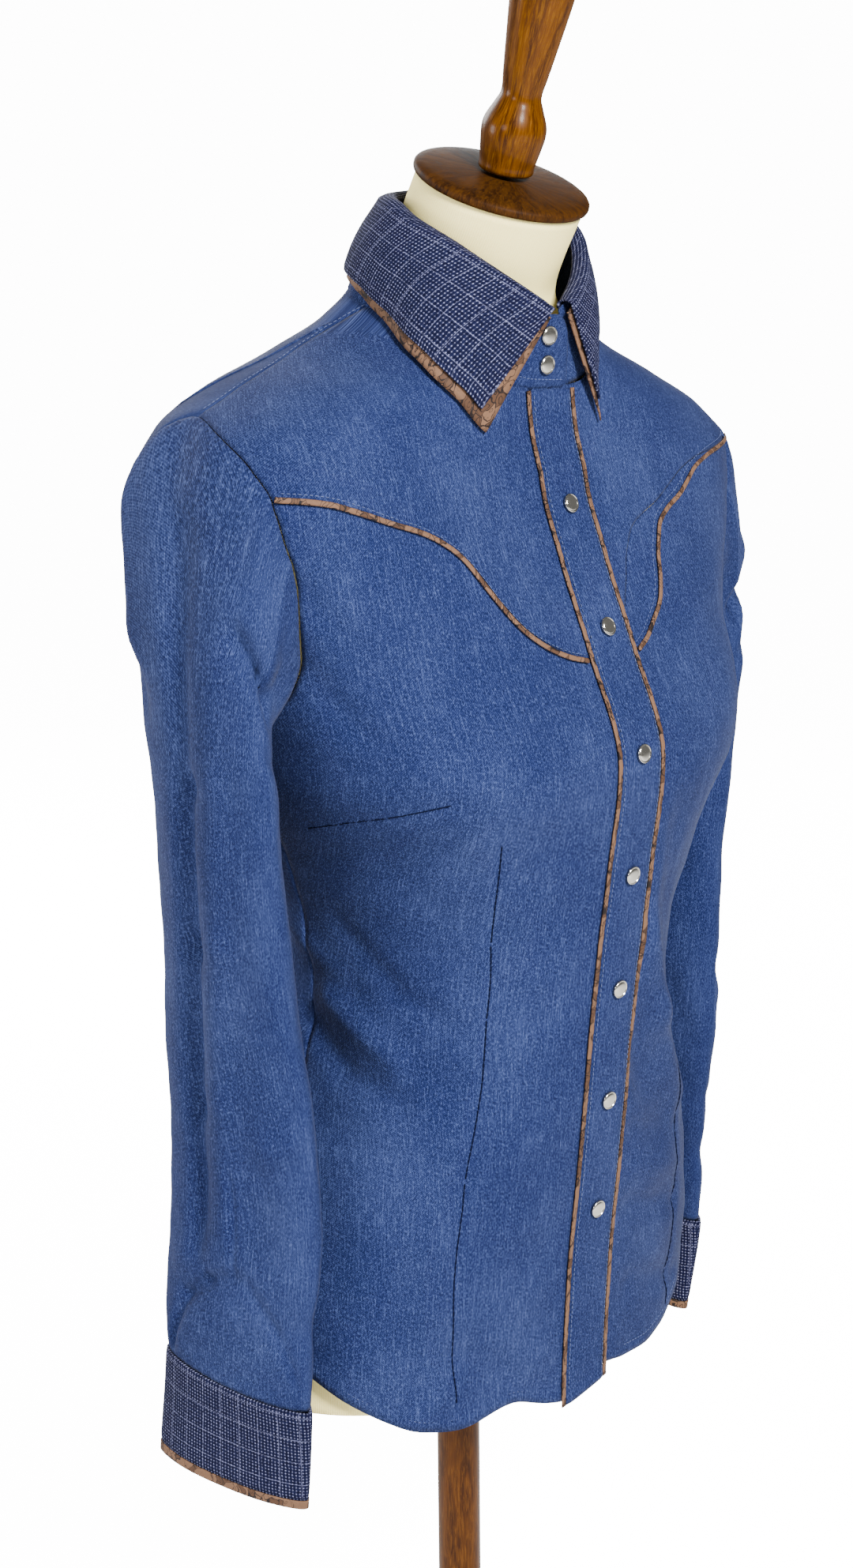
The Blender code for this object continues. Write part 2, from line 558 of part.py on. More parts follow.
def sleeve_cap(side, clock, share):
    """The loft from the armhole out over the shoulder and down to the first level ring."""
    sign = SIDES[side]
    degrees = np.degrees(clock) % 360.0
    bearing = np.radians(column(ARMHOLE, "clock", degrees, "bearing"))
    start = torso(sign * bearing, column(ARMHOLE, "clock", degrees, "height"))
    drop = 0.30 + 1.3 * np.exp(-((degrees - 270) / 38.0) ** 2) - 0.25 * np.cos(clock) ** 2
    leave = np.stack([sign + 0 * drop, 0.10 * -np.cos(clock) * np.abs(np.cos(clock)), -drop], -1)
    leave /= np.linalg.norm(leave, axis=-1, keepdims=True)
    end = sleeve_ring(side, CAP_END, clock)
    arrive = sleeve_ring(side, CAP_END - 0.01, clock) - end
    arrive /= np.linalg.norm(arrive, axis=-1, keepdims=True)
    reach = np.linalg.norm(end - start, axis=-1, keepdims=True)
    top = np.exp(-((degrees - 90) / 55.0) ** 2)[..., None]
    pull_out = reach * (0.20 + 0.22 * top)
    pull_down = reach * (0.75 + 0.25 * top)
    start = start + ARMHOLE_GAP * leave
    t = np.asarray(share)[..., None]
    return (start * (1 + 2 * t) * (1 - t) ** 2 + leave * pull_out * t * (1 - t) ** 2
            + end * t * t * (3 - 2 * t) - arrive * pull_down * t * t * (1 - t))


def sleeve_points(side):
    """Grid of the sleeve's outer side, rows from the armhole down, clock round the ring."""
    clock = np.radians(SLEEVE_CLOCK)
    cap = [sleeve_cap(side, clock, share) for share in (0, 0.08, 0.20, 0.36, 0.54, 0.72, 0.88)]
    heights = (0.405, 0.375, 0.335, 0.290, 0.245, 0.200, 0.160, 0.125, 0.098, 0.074, CUFF_TOP + SEAM)
    rings = [sleeve_ring(side, height, clock) for height in heights]
    return np.array(cap + rings), clock


def fold_sleeve(side, grid, clock):
    """Moves the grid in or out along its normals where the table puts a fold."""
    across = np.roll(grid, -1, axis=1) - np.roll(grid, 1, axis=1)
    down = np.gradient(grid, axis=0)
    normal = np.cross(across, down) * (-SIDES[side])
    normal /= np.linalg.norm(normal, axis=-1, keepdims=True)
    centre = grid.mean(axis=1, keepdims=True)
    if np.sum(normal * (grid - centre)) < 0:
        normal = -normal
    amount = np.zeros(grid.shape[:2])
    degrees = np.degrees(clock)[None, :]
    for height, at, long, wide, depth in zip(*SLEEVE_FOLDS.values()):
        turn = (degrees - at + 180) % 360 - 180
        amount += depth * np.exp(-((grid[..., 2] - height) / long) ** 2 - (turn / wide) ** 2)
    amount *= ease(np.arange(len(grid)), 0, 3)[:, None]
    return grid + amount[..., None] * normal


def make_sleeves():
    for side, sign in SIDES.items():
        grid, clock = sleeve_points(side)
        grid = fold_sleeve(side, grid, clock)
        wall(side + "_sleeve", grid, "denim", closed=True, flip=sign > 0)
        heights = np.linspace(CUFF_TOP, CUFF_BOTTOM + CUFF_PIPING + SEAM, 3)
        cuff = np.array([sleeve_ring(side, height, clock, 0.0012) for height in heights])
        wall(side + "_cuff", cuff, "tweed", 0.0020, closed=True, flip=sign > 0)
        edge = np.array([sleeve_ring(side, height, clock, 0.0012)
                         for height in (CUFF_BOTTOM + CUFF_PIPING, CUFF_BOTTOM)])
        wall(side + "_cuff_piping", edge, "paisley", 0.0020, closed=True, flip=sign > 0)


# ---------------------------------------------------------------- collar
def fold_line(angle, out=0.0):
    """The collar's fold, moved out sideways; angle 0 is the centre front."""
    x, y = superellipse(angle, FOLD_HALF + out, FOLD_CENTRE - FOLD_FRONT + out,
                        FOLD_BACK - FOLD_CENTRE + out, FOLD_CENTRE, FOLD_ROUND_FRONT, FOLD_ROUND_BACK)
    half_turn = np.degrees(np.arccos(np.cos(angle)))
    return np.stack([x, y, column(FOLD_LINE, "angle", half_turn, "height")], -1)


def leaf_edge(side, share, level):
    bearing = SIDES[side] * np.radians(column(LEAF_EDGE, "share", share, side))
    return torso(bearing, column(LEAF_EDGE, "share", share, "height"), level)


def half_leaf(side, start, downs, out, level):
    """Rows of one half of a leaf, from the centre back to its front edge, fold to edge.

    `start` gives the shares of the fold and of the edge where it begins, `out` its
    height off the fold line and `level` its height off the shoulder.
    """
    share = np.linspace(1.0, 0.0, LEAF_COLUMNS)
    fold_share, edge_share = [np.maximum(share, first) for first in start]
    angle = SIDES[side] * np.radians(LEAF_START[side] + (180.0 - LEAF_START[side]) * fold_share)
    top = fold_line(angle, out)
    bottom = leaf_edge(side, edge_share, level)
    rows = []
    for down in downs:
        point = top + (bottom - top) * down
        bow = LEAF_BOW * math.sin(math.pi * down) * ease(edge_share, 0.0, 0.3)
        point[:, 0] += bow * np.sin(angle)
        point[:, 1] -= bow * np.cos(angle)
        rows.append(point)
    return np.array(rows)


def leaf(start, downs, out, level):
    left = half_leaf("left", start, downs, out, level)
    right = half_leaf("right", start, downs, out, level)
    return np.concatenate([left[:, ::-1], right[:, 1:]], axis=1)


def stand_edges():
    """Lower and upper edge of the collar stand, from its left end round to its lapped tab."""
    angle = np.concatenate([np.linspace(LEAF_START["left"], 346.0, 31), [352.0, 357.0]])
    bearing = np.radians(np.where(angle < 180, angle, angle - 360))
    tuck = STAND_TUCK * (1 - ease(angle, 8.0, 40.0))
    height = column(NECKLINE, "bearing", np.degrees(np.abs(bearing)), "height")
    bottom = torso(bearing, height) + (0, 0, STAND_RISE)
    top = fold_line(np.radians(angle), -STAND_INSIDE) - (0, 0, STAND_TOP_DROP)
    bottom[:, 1] += tuck
    top[:, 1] += tuck
    tab = np.linspace(0.0, 1.0, 6)[1:] * STAND_END
    seam = torso(bearing_of(tab, NECK_FRONT), np.full(5, NECK_FRONT)) + (0, 0, STAND_RISE)
    rounded = STAND_END - np.sqrt(STAND_END ** 2 - (0.97 * tab) ** 2)
    end = np.stack([tab, top[-1, 1] + TAB_BACK * tab, top[-1, 2] - rounded], -1)
    return np.concatenate([bottom, seam]), np.concatenate([top, end])


def make_collar():
    bottom, top = stand_edges()
    wall("collar_stand", np.array([bottom + (top - bottom) * up for up in (0.0, 0.35, 0.7, 1.0)]), "denim")
    under = leaf((0.0, 0.0), (0.06, 0.28, 0.52, 0.76, 1.0), UNDER_OUT, UNDER_LEVEL)
    wall("collar_under", under, "paisley", LEAF_WALL, flip=True)
    # The outer leaf is carried over the fold and a little way down inside the stand.
    outer = leaf(TOP_START, (0.0, 0.05, 0.28, 0.52, 0.76, 0.925), TOP_OUT, TOP_LEVEL)
    ridge = leaf(TOP_START, (0.0,), 0.5 * (TOP_OUT - TOP_INSIDE), TOP_LEVEL) + (0, 0, FOLD_RISE)
    inner = leaf(TOP_START, (0.0,), -TOP_INSIDE, TOP_LEVEL)
    wall("collar_top", np.concatenate([inner - (0, 0, TOP_INNER_DROP), inner, ridge, outer]),
         "tweed", LEAF_WALL, flip=True)


# ---------------------------------------------------------------- snaps
def make_snap(name, centre, normal):
    profile = [(0.0, SNAP_HEIGHT), (SNAP_RADIUS * 0.80, SNAP_HEIGHT), (SNAP_RADIUS, SNAP_HEIGHT * 0.62),
               (SNAP_RADIUS, SNAP_HEIGHT * 0.15), (SNAP_RADIUS * 0.92, 0.0), (0.0, 0.0)]
    made = turned(name, profile, "nickel", 14, (0, 0, 0))
    turn = Vector((0, 0, 1)).rotation_difference(Vector(normal))
    made.location = Vector(centre)
    made.rotation_euler = turn.to_euler()


def stand_spot(out, height):
    """Point on the stand's tab and the direction it faces."""
    edges = []
    for edge in stand_edges():
        edge = edge[-12:]
        edges.append([np.stack([np.interp(x, edge[:, 0], edge[:, k]) for k in range(3)])
                      for x in (out, out + 0.001)])
    (low, low_next), (high, high_next) = edges
    share = (height - low[2]) / (high[2] - low[2])
    point = low + (high - low) * share
    across = low_next + (high_next - low_next) * share - point
    normal = np.cross(across, high - low)
    return point, normal / np.linalg.norm(normal)


def make_snaps():
    for number, height in enumerate(STAND_SNAPS, 1):
        point, normal = stand_spot(STAND_SNAP_OUT, height)
        make_snap(f"stand_snap_{number}", settle(point + 2 * SEAM * normal), normal)
    level = LAY + WALL + 2 * SEAM
    for number, height in enumerate(PLACKET_SNAPS, 1):
        point = torso(0.0, height, level)
        normal = torso(0.0, height, 1.0) - torso(0.0, height, 0.0)
        make_snap(f"snap_{number}", settle(point), normal)


# ---------------------------------------------------------------- dress form and stand
def loft(name, rings, finish):
    """A solid through closed rings of points, listed upwards, with flat ends."""
    form = bmesh.new()
    loops = [[form.verts.new(point) for point in ring] for ring in rings]
    for lower, upper in zip(loops, loops[1:]):
        for j in range(len(lower)):
            k = (j + 1) % len(lower)
            form.faces.new((lower[j], lower[k], upper[k], upper[j]))
    form.faces.new(loops[0][::-1])
    form.faces.new(loops[-1])
    mesh = bpy.data.meshes.new(name)
    form.to_mesh(mesh)
    form.free()
    return add_object(name, mesh, finish)


def neck_ring(angle, height, centre, half, front, back, tilt):
    x, y = superellipse(angle, half, front, back, 0.0, 2.0, 2.0)
    slope = math.radians(tilt)
    return np.stack([x, centre + y * math.cos(slope), height + y * math.sin(slope)], -1)


def form_ring(angle, height):
    """The form inside the cloth, flat at the sides where arms would start."""
    inset = np.full(FORM_COLUMNS, float(column(FORM_INSET, "height", height, "inset")))
    ring = torso(angle, np.full(FORM_COLUMNS, height), -inset)
    ring[:, 0] = np.clip(ring[:, 0], -FORM_SIDE, FORM_SIDE)
    return ring


def make_form():
    angle = np.radians(np.arange(FORM_COLUMNS) * 360.0 / FORM_COLUMNS)
    heights = (FORM_BOTTOM, 0.035, 0.08, 0.13, 0.18, 0.225, 0.27, 0.31, 0.35, 0.39, 0.43, 0.47,
               0.505, 0.535, 0.56, 0.58, 0.597, 0.611, 0.624)
    rings = [form_ring(angle, height) for height in heights]
    neck = [neck_ring(angle, *row) + (0, 0, HEM_HEIGHT) for row in zip(*NECK.values())]
    loft("form_torso", [*settle(np.array(rings)), *neck], "jersey")


def make_neck_cap_and_finial():
    tilt = math.radians(float(NECK["tilt"][-1]))
    axis = np.array([0.0, -math.sin(tilt), math.cos(tilt)])
    top = np.array([0.0, NECK["centre"][-1], NECK["height"][-1]]) + SEAM * axis
    turned("neck_cap", CAP_PROFILE, "cap_wood", 32, top, tilt)
    seat = top + (CAP_PROFILE[0][1] + SEAM) * axis
    turned("finial", FINIAL_PROFILE, "finial_wood", 16, seat, FINIAL_TILT)


def make_stand_and_base():
    base_profile = [(0.0, BASE_THICK), (BASE_RADIUS - 0.022, BASE_THICK), (BASE_RADIUS - 0.008, 0.014),
                    (BASE_RADIUS, 0.007), (BASE_RADIUS, 0.002), (BASE_RADIUS - 0.002, 0.0), (0.0, 0.0)]
    turned("base", base_profile, "stand_wood", 36, (0.0, 0.0, -HEM_HEIGHT))
    length = HEM_HEIGHT + FORM_BOTTOM - BASE_THICK - 2 * SEAM
    pole_profile = [(0.0, length), (POLE_RADIUS, length), (POLE_RADIUS, 0.0), (0.0, 0.0)]
    turned("pole", pole_profile, "stand_wood", 20, (0.0, 0.0, BASE_THICK + SEAM - HEM_HEIGHT))


def main():
    make_body()
    make_placket()
    make_yoke_pipings()
    make_sleeves()
    make_collar()
    make_snaps()
    make_form()
    make_neck_cap_and_finial()
    make_stand_and_base()


for old in list(bpy.data.objects):
    bpy.data.objects.remove(old, do_unlink=True)
PARTS = bpy.data.collections.new("western_shirt_on_form")
bpy.context.scene.collection.children.link(PARTS)
main()
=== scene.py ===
"""A western snap shirt on its dress form.

Metres, +Z up, the front of the shirt faces -Y. Heights in the tables run up from the hem at the
centre front, as on the garment's own pattern. Every cloth piece is a thin shell with its folds,
seams and stitches, and stands for one plain wall of the shirt.
"""
import math

import bmesh
import bpy
import numpy as np
from mathutils import Matrix, Vector


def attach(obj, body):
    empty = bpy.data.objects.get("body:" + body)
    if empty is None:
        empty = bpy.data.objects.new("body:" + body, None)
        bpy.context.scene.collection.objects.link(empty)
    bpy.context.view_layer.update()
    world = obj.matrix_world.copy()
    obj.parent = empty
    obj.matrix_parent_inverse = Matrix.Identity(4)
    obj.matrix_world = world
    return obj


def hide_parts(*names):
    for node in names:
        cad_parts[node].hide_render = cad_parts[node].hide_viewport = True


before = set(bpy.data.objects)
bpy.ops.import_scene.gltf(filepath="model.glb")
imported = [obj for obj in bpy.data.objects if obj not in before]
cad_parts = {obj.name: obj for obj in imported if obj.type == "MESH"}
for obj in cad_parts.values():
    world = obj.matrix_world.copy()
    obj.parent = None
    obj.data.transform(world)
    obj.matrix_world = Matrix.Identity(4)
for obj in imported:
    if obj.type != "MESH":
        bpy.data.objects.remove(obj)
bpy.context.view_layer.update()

# ---------------------------------------------------------------- driving dimensions
HEM_HEIGHT = 0.24             # centre front hem above the floor
WALL = 0.0009                 # cloth thickness of the shells
SEAM = 0.0003                 # gap between neighbouring pieces
SEAM_DROP = 0.00012           # half the gap across a yoke seam
LAY = 0.0009                  # gap under the placket and its pipings
YOKE_LAY = 0.001              # gap under the yoke pipings
LEAN = 0.035                  # the right shoulder sits higher: rise per metre of width
LEAN_IN, LEAN_OUT = (0.53, 0.6), (0.64, 0.7)  # heights where the lean grows and fades
SIDE_GAP, SHOULDER_GAP = 0.001, 0.0012  # half gaps at these seams, in radians
ARMHOLE_GAP = 0.0004
SEAM_EVEN = 0.3               # how far the yoke seam's rise counts in spacing its columns
DENSE = 6                     # columns and rows of a shell for each step of the tables
PANEL_COLUMNS, SHOULDER_COLUMNS, BACK_COLUMNS = 12 * DENSE + 1, 4 * DENSE + 1, 18 * DENSE + 1

ROLL, ROLL_WIDTH = 0.0005, 0.0022  # how far a seamed edge turns in, over what width
PUCKER, PUCKER_TURNS = 0.00012, 830  # ripples beside a seam: height, radians a metre
PUCKER_AT, PUCKER_WIDTH = 0.003, 0.004
HEM_BAND, HEM_THICK = 0.0066, 0.0004  # height of the sewn hem and how far it stands out
HEM_GROOVE, HEM_GROOVE_WIDTH = 0.0003, 0.0008  # the groove that its stitching pulls in

PLACKET_HALF = 0.0163
PLACKET_THICK = 0.0012
PLACKET_RISE = 0.0075         # the placket's hem climbs this much from right to left
PLACKET_STEPS = 8             # rows of the placket for each step of the tables
RIPPLE, RIPPLE_TURNS, RIPPLE_DRIFT = 0.00016, 760, 97  # ripples along the placket and its pipings
PIPING_WIDTH = 0.003
PIPING_THICK = 0.001
PIPING_SHELL = 0.0009
PIPING_ROUND = 0.0004         # how far a piping's edges drop below its middle
NECK_FRONT = 0.591            # the neckline at the centre front
UNDERLAP = 0.015              # how far the left front runs on under the placket
OVERLAP = 0.0008              # how far the right front runs in under it
SNAP_RADIUS, SNAP_HEIGHT = 0.0054, 0.0022
FORM_BOTTOM = 0.018
FINIAL_TILT = math.radians(16.5)
POLE_RADIUS, POLE_RINGS = 0.013, 24
BASE_RADIUS, BASE_THICK = 0.13, 0.018


def table(names, rows):
    """Columns of a short table by name."""
    return dict(zip(names.split(), np.array(rows, float).T))


def finer(values, times=DENSE):
    """The same run of values with `times` steps for each step."""
    values = np.asarray(values, float)
    spots = np.linspace(0, len(values) - 1, (len(values) - 1) * times + 1)
    return np.interp(spots, np.arange(len(values)), values)


# Sections of the worn body, a row for each height.
TORSO = table("height half_width front back centre round_front round_back", [
    (-0.060, 0.160, 0.106, 0.122, 0.005, 2.3, 2.2),
    (0.000, 0.166, 0.106, 0.120, 0.005, 2.2, 2.2),
    (0.080, 0.166, 0.109, 0.117, 0.004, 2.3, 2.2),
    (0.150, 0.152, 0.115, 0.108, 0.002, 2.3, 2.2),
    (0.220, 0.124, 0.121, 0.096, 0.000, 2.2, 2.2),
    (0.270, 0.117, 0.127, 0.090, 0.000, 2.2, 2.2),
    (0.330, 0.132, 0.135, 0.094, 0.000, 2.2, 2.2),
    (0.390, 0.163, 0.142, 0.106, 0.000, 2.3, 2.2),
    (0.450, 0.178, 0.125, 0.112, 0.004, 2.5, 2.3),
    (0.500, 0.197, 0.107, 0.112, 0.007, 2.9, 2.4),
    (0.540, 0.207, 0.093, 0.104, 0.007, 3.0, 2.5),
    (0.570, 0.186, 0.090, 0.091, 0.012, 2.9, 2.5),
    (0.592, 0.148, 0.091, 0.075, 0.015, 2.6, 2.4),
    (0.610, 0.108, 0.089, 0.058, 0.015, 2.2, 2.2),
    (0.628, 0.079, 0.082, 0.043, 0.010, 2.0, 2.0),
    (0.645, 0.067, 0.071, 0.036, 0.002, 2.0, 2.0),
    (0.660, 0.063, 0.066, 0.038, -0.001, 2.0, 2.0),
])
# Fullness that the bust darts give: depth, bearing and spread in radians, height and spread, and
# how much of it goes sideways.
BUST = {"depth": 0.01, "bearing": 0.75, "spread": 0.42, "height": 0.385, "rise": 0.055,
        "aside": 0.6}

# Seams of each front, in degrees round from the centre front, or in metres out from it.
YOKE_SEAM = {
    "right": table("out height", [
        (0.018, 0.447), (0.031, 0.4505), (0.0438, 0.4562), (0.0574, 0.4658),
        (0.0689, 0.4796), (0.0796, 0.4965), (0.0888, 0.5098), (0.0994, 0.5183),
        (0.1106, 0.5244), (0.1268, 0.5305), (0.1486, 0.539), (0.1608, 0.5427),
        (0.1739, 0.5446), (0.186, 0.5454)]),
    "left": table("out height", [
        (0.018, 0.4472), (0.0281, 0.4521), (0.0395, 0.4604), (0.0491, 0.4698),
        (0.056, 0.4825), (0.063, 0.4985), (0.071, 0.5104), (0.082, 0.5165),
        (0.0971, 0.5222), (0.1097, 0.5292), (0.1232, 0.5363), (0.1421, 0.5416),
        (0.165, 0.5438), (0.186, 0.5454)]),
}
HEM = {
    "right": table("bearing height", [
        (0, 0.0), (11.1, 0.005), (18.8, 0.011), (23.7, 0.01), (32.2, 0.006), (40.5, 0.009),
        (49.5, 0.018), (58.6, 0.03), (69.7, 0.046), (90, 0.062)]),
    "left": table("bearing height", [
        (0, 0.012), (6.3, 0.015), (13.8, 0.012), (21.8, 0.011), (29.4, 0.015), (36, 0.022),
        (43.2, 0.03), (53.9, 0.04), (69.6, 0.051), (90, 0.062)]),
}
BACK_HEM = table("bearing height", [
    (90, 0.062), (106.8, 0.045), (125.9, 0.014), (148.7, -0.012), (180, -0.02)])
# The armhole, clockwise from its front as seen from outside: 90 is the shoulder point,
# 180 the back and 270 the underarm.
ARMHOLE = table("clock bearing height", [
    (0, 54.3, 0.514), (23, 54.0, 0.532), (45, 55.4, 0.5462), (63, 63.3, 0.561),
    (78, 79.7, 0.5735), (90, 96.0, 0.5797), (104, 107.7, 0.5745), (122, 116.3, 0.56),
    (140, 120.2, 0.54), (160, 121.7, 0.515), (184, 120.8, 0.486), (212, 115.5, 0.457),
    (242, 104.9, 0.437), (270, 90.0, 0.4275), (290, 75.5, 0.432), (308, 68.0, 0.445),
    (326, 61.5, 0.469), (343, 56.4, 0.495), (360, 54.3, 0.514)])
YOKE_CLOCK = 45.0             # where the front yoke seam meets the armhole
BACK_YOKE_CLOCK = 150.0       # where the back yoke seam meets it
# Columns of the sleeves; the panels have a corner at each of them along the armhole.
SLEEVE_CLOCK = finer((0, 16, 31, 45, 53, 61, 68, 75, 82, 90, 98, 106, 114, 124, 136, 150, 165, 181,
                      198, 216, 234, 252, 270, 288, 306, 324, 342, 360))[:-1]
# Heights at the centre front where the fronts, yokes and placket all have a row.
FRONT_ROWS = (0.028, 0.057, 0.086, 0.115, 0.144, 0.172, 0.199, 0.226, 0.252, 0.277, 0.301, 0.324,
              0.346, 0.366, 0.384, 0.4, 0.416, 0.433)
SIDE_ROWS = finer((0.062, 0.098, 0.133, 0.165, 0.195, 0.222, 0.248, 0.274, 0.302, 0.334, 0.375,
                   0.4275))
YOKE_ROWS = (0.465, 0.485, 0.508, 0.533, 0.562)
YOKE_FRONT = 0.447            # the front yoke seam at the placket
SHOULDER_SEAM = table("share bearing height", [
    (0.0, 80.0, 0.6358), (0.17, 86.3, 0.6271), (0.34, 89.8, 0.6194), (0.53, 91.5, 0.608),
    (0.72, 91.8, 0.5973), (0.88, 93.3, 0.5872), (1.0, 96.0, 0.5797)])
BACK_YOKE_SEAM = table("bearing height", [
    (119.8, 0.531), (135, 0.525), (154.4, 0.519), (180, 0.517)])
NECKLINE = table("bearing height", [
    (0, 0.591), (9.8, 0.5935), (17.4, 0.601), (29, 0.6135), (45, 0.6235), (62, 0.6305),
    (80, 0.6358), (105, 0.644), (135, 0.651), (180, 0.654)])

# Sleeves: rings from the cap down to the cuff; width runs front to back and depth across.
SLEEVE = table("height out along width depth turn", [
    (0.440, 0.2030, -0.0080, 0.0600, 0.0205, 10.0),
    (0.400, 0.1960, -0.0085, 0.0572, 0.0213, 12.0),
    (0.340, 0.1897, -0.0052, 0.0561, 0.0228, 12.0),
    (0.270, 0.1829, -0.0033, 0.0555, 0.0228, 8.0),
    (0.200, 0.1796, -0.0067, 0.0558, 0.0222, 1.0),
    (0.140, 0.1825, -0.0105, 0.0545, 0.0201, -3.5),
    (0.090, 0.1876, -0.0100, 0.0523, 0.0173, -5.5),
    (0.050, 0.1898, -0.0095, 0.0500, 0.0148, -8.0),
    (-0.014, 0.1912, -0.0045, 0.0480, 0.0125, -14.0),
])
# The left sleeve hangs a little further back than the right one.
LEFT_SLEEVE_BACK = table("height shift", [
    (-0.014, 0.02), (0.09, 0.019), (0.14, 0.015), (0.2, 0.008), (0.34, 0.012), (0.44, 0.017)])
CUFF_TOP, CUFF_BOTTOM = 0.048, -0.0135
CUFF_PIPING = 0.005           # how much of its height is piping
CUFF_GROW, CUFF_THICK = 0.0012, 0.0018  # how far the cuff stands off its sleeve, and its layers
CUFF_WAVES = ((0.0006, 3, 1.0), (0.0004, 7, 0.0))  # height, count and start of its unevenness
CUFF_MEAN = 0.04              # its mean radius
CUFF_SLOPE, LEVEL_ABOVE = 0.165, 0.17  # rings above LEVEL_ABOVE are level
CAP_END = 0.405               # where the sleeve cap's loft meets the rings
# Rows of a sleeve: shares of the cap's loft, then heights down to the cuff, each divided further.
CAP_SHARES = finer((0, 0.08, 0.2, 0.36, 0.54, 0.72, 0.88, 1.0), 6)[:-1]
SLEEVE_ROWS = finer((CAP_END, 0.375, 0.335, 0.29, 0.245, 0.2, 0.16, 0.125, 0.098, 0.074,
                     CUFF_TOP + SEAM), 9)
CUFF_ROWS = finer((CUFF_TOP, CUFF_BOTTOM + CUFF_PIPING + SEAM), 24)
CUFF_PIPING_ROWS = finer((CUFF_BOTTOM + CUFF_PIPING, CUFF_BOTTOM), 6)
# Broad hollows of the sleeve: where, how long, how many degrees wide and how deep.
SLEEVE_FOLDS = table("height clock long wide depth", [
    (0.446, 335, 0.022, 26, -0.0065), (0.425, 300, 0.016, 30, -0.004),
    (0.44, 180, 0.018, 28, -0.005), (0.5, 62, 0.08, 16, -0.002), (0.088, 20, 0.012, 50, -0.003),
    (0.15, 65, 0.035, 18, -0.0022)])

# Collar: the fold at the top of the stand, then the leaf's lower edge on the shoulders.
FOLD_HALF, FOLD_CENTRE, FOLD_FRONT, FOLD_BACK = 0.058, -0.03, -0.0806, 0.021
FOLD_ROUND_FRONT, FOLD_ROUND_BACK = 1.8, 2.0
FOLD_LINE = table("angle height", [
    (0, 0.6325), (18, 0.6435), (42, 0.6582), (66, 0.6726), (90, 0.6837), (114, 0.6926),
    (138, 0.6945), (180, 0.695)])
LEAF_START = {"right": 2.4, "left": 6.2}  # degrees round the fold where each leaf begins
LEAF_EDGE = table("share right left height", [
    (0.0, 16.9, 11.9, 0.5705), (0.12, 25.5, 13.0, 0.5874), (0.24, 37.4, 16.5, 0.601),
    (0.36, 53.5, 31.0, 0.6155), (0.48, 74.0, 66.0, 0.6317), (0.62, 95.0, 93.0, 0.644),
    (0.8, 130.0, 130.0, 0.65), (1.0, 180.0, 180.0, 0.65)])
LEAF_BOW = 0.003              # how far a leaf swells out between its fold and its edge
LEAF_COLUMNS = 91
UNDER_OUT, TOP_OUT, TOP_INSIDE = 0.0024, 0.0048, 0.0046  # how far the layers lie off the fold
UNDER_LEVEL, TOP_LEVEL = 0.0036, 0.0062  # and off the shoulders
UNDER_THICK, TOP_THICK = 0.0009, 0.001
FOLD_RISE = 0.0016            # the ridge of the fold above its line
TOP_START = (0.018, 0.058)    # shares of the fold and of the edge where the outer leaf begins
TOP_INNER_DROP = 0.004        # how far the outer leaf runs down inside the fold
UNDER_DOWNS = finer((0.06, 0.28, 0.52, 0.76, 1.0), 6)  # rows of the leaves, fold to edge
TOP_DOWNS = (0.0, 0.05, *finer((0.28, 0.52, 0.76, 0.925), 4))
STAND_ANGLES = (*np.linspace(LEAF_START["left"], 346.0, 31), 352.0, 357.0)
STAND_TOP_DROP, STAND_INSIDE = 0.0024, 0.0002  # the stand's top below and inside the fold
STAND_TUCK, TUCK_ANGLES = 0.0017, (8.0, 40.0)  # its left end lies inside its lapped tab
STAND_RISE = 0.0016           # the stand starts this far above the neckline
STAND_TURN_IN = -0.085        # its seam allowance below that, as a share of its height
STAND_END = 0.015             # the lapped tab past the centre
TAB_COLUMNS, TAB_BACK = 5, 0.18  # how fast the tab's top runs back past the centre
TAB_ROUND = 0.97              # share of the tab that its rounded corner takes
STAND_ROWS = 12

# Dress form: how far it stays inside the cloth, and the rings of its neck.
FORM_SIDE = 0.181             # half its width where its sides are flat
FORM_INSET = table("height inset", [
    (0.018, 0.0062), (0.52, 0.0062), (0.56, 0.0068), (0.6, 0.0062), (0.63, 0.0045)])
FORM_ANGLES = np.radians(np.arange(144) * 2.5)
FORM_ROWS = finer((FORM_BOTTOM, 0.035, 0.08, 0.13, 0.18, 0.225, 0.27, 0.31, 0.35, 0.39, 0.43, 0.47,
                   0.505, 0.535, 0.56, 0.58, 0.597, 0.611, 0.624), 3)
FORM_FOOT_SHARES, FORM_HEAD_SHARES = (0.02, 0.5, 0.9, 0.985), (0.97, 0.5, 0.02)
FORM_FOOT_RISE = 0.0015       # the rounded edge under the form
NECK = table("height centre half front back tilt", [
    (0.638, -0.003, 0.058, 0.062, 0.035, 5.0), (0.653, -0.012, 0.052, 0.053, 0.039, 12.0),
    (0.673, -0.026, 0.048, 0.048, 0.046, 18.0), (0.698, -0.0405, 0.0475, 0.0475, 0.0475, 20.9)])
# Turned outlines as (radius, height), from the top down.
CAP_PROFILE = [
    (0.0, 0.0085), (0.012, 0.00835), (0.024, 0.0078), (0.035, 0.0071), (0.044, 0.0063),
    (0.0475, 0.0056), (0.0492, 0.0047), (0.05, 0.0036), (0.05, 0.0016), (0.0496, 0.0007),
    (0.0488, 0.0), (0.0, 0.0)]
FINIAL_PROFILE = [
    (0.0, 0.133), (0.01, 0.131), (0.0165, 0.126), (0.019, 0.118), (0.0176, 0.098),
    (0.015, 0.0755), (0.0126, 0.056), (0.0113, 0.045), (0.0135, 0.0385), (0.0172, 0.03),
    (0.018, 0.024), (0.0172, 0.017), (0.0155, 0.007), (0.0145, 0.0018), (0.006, 0.0003),
    (0.0, 0.0)]
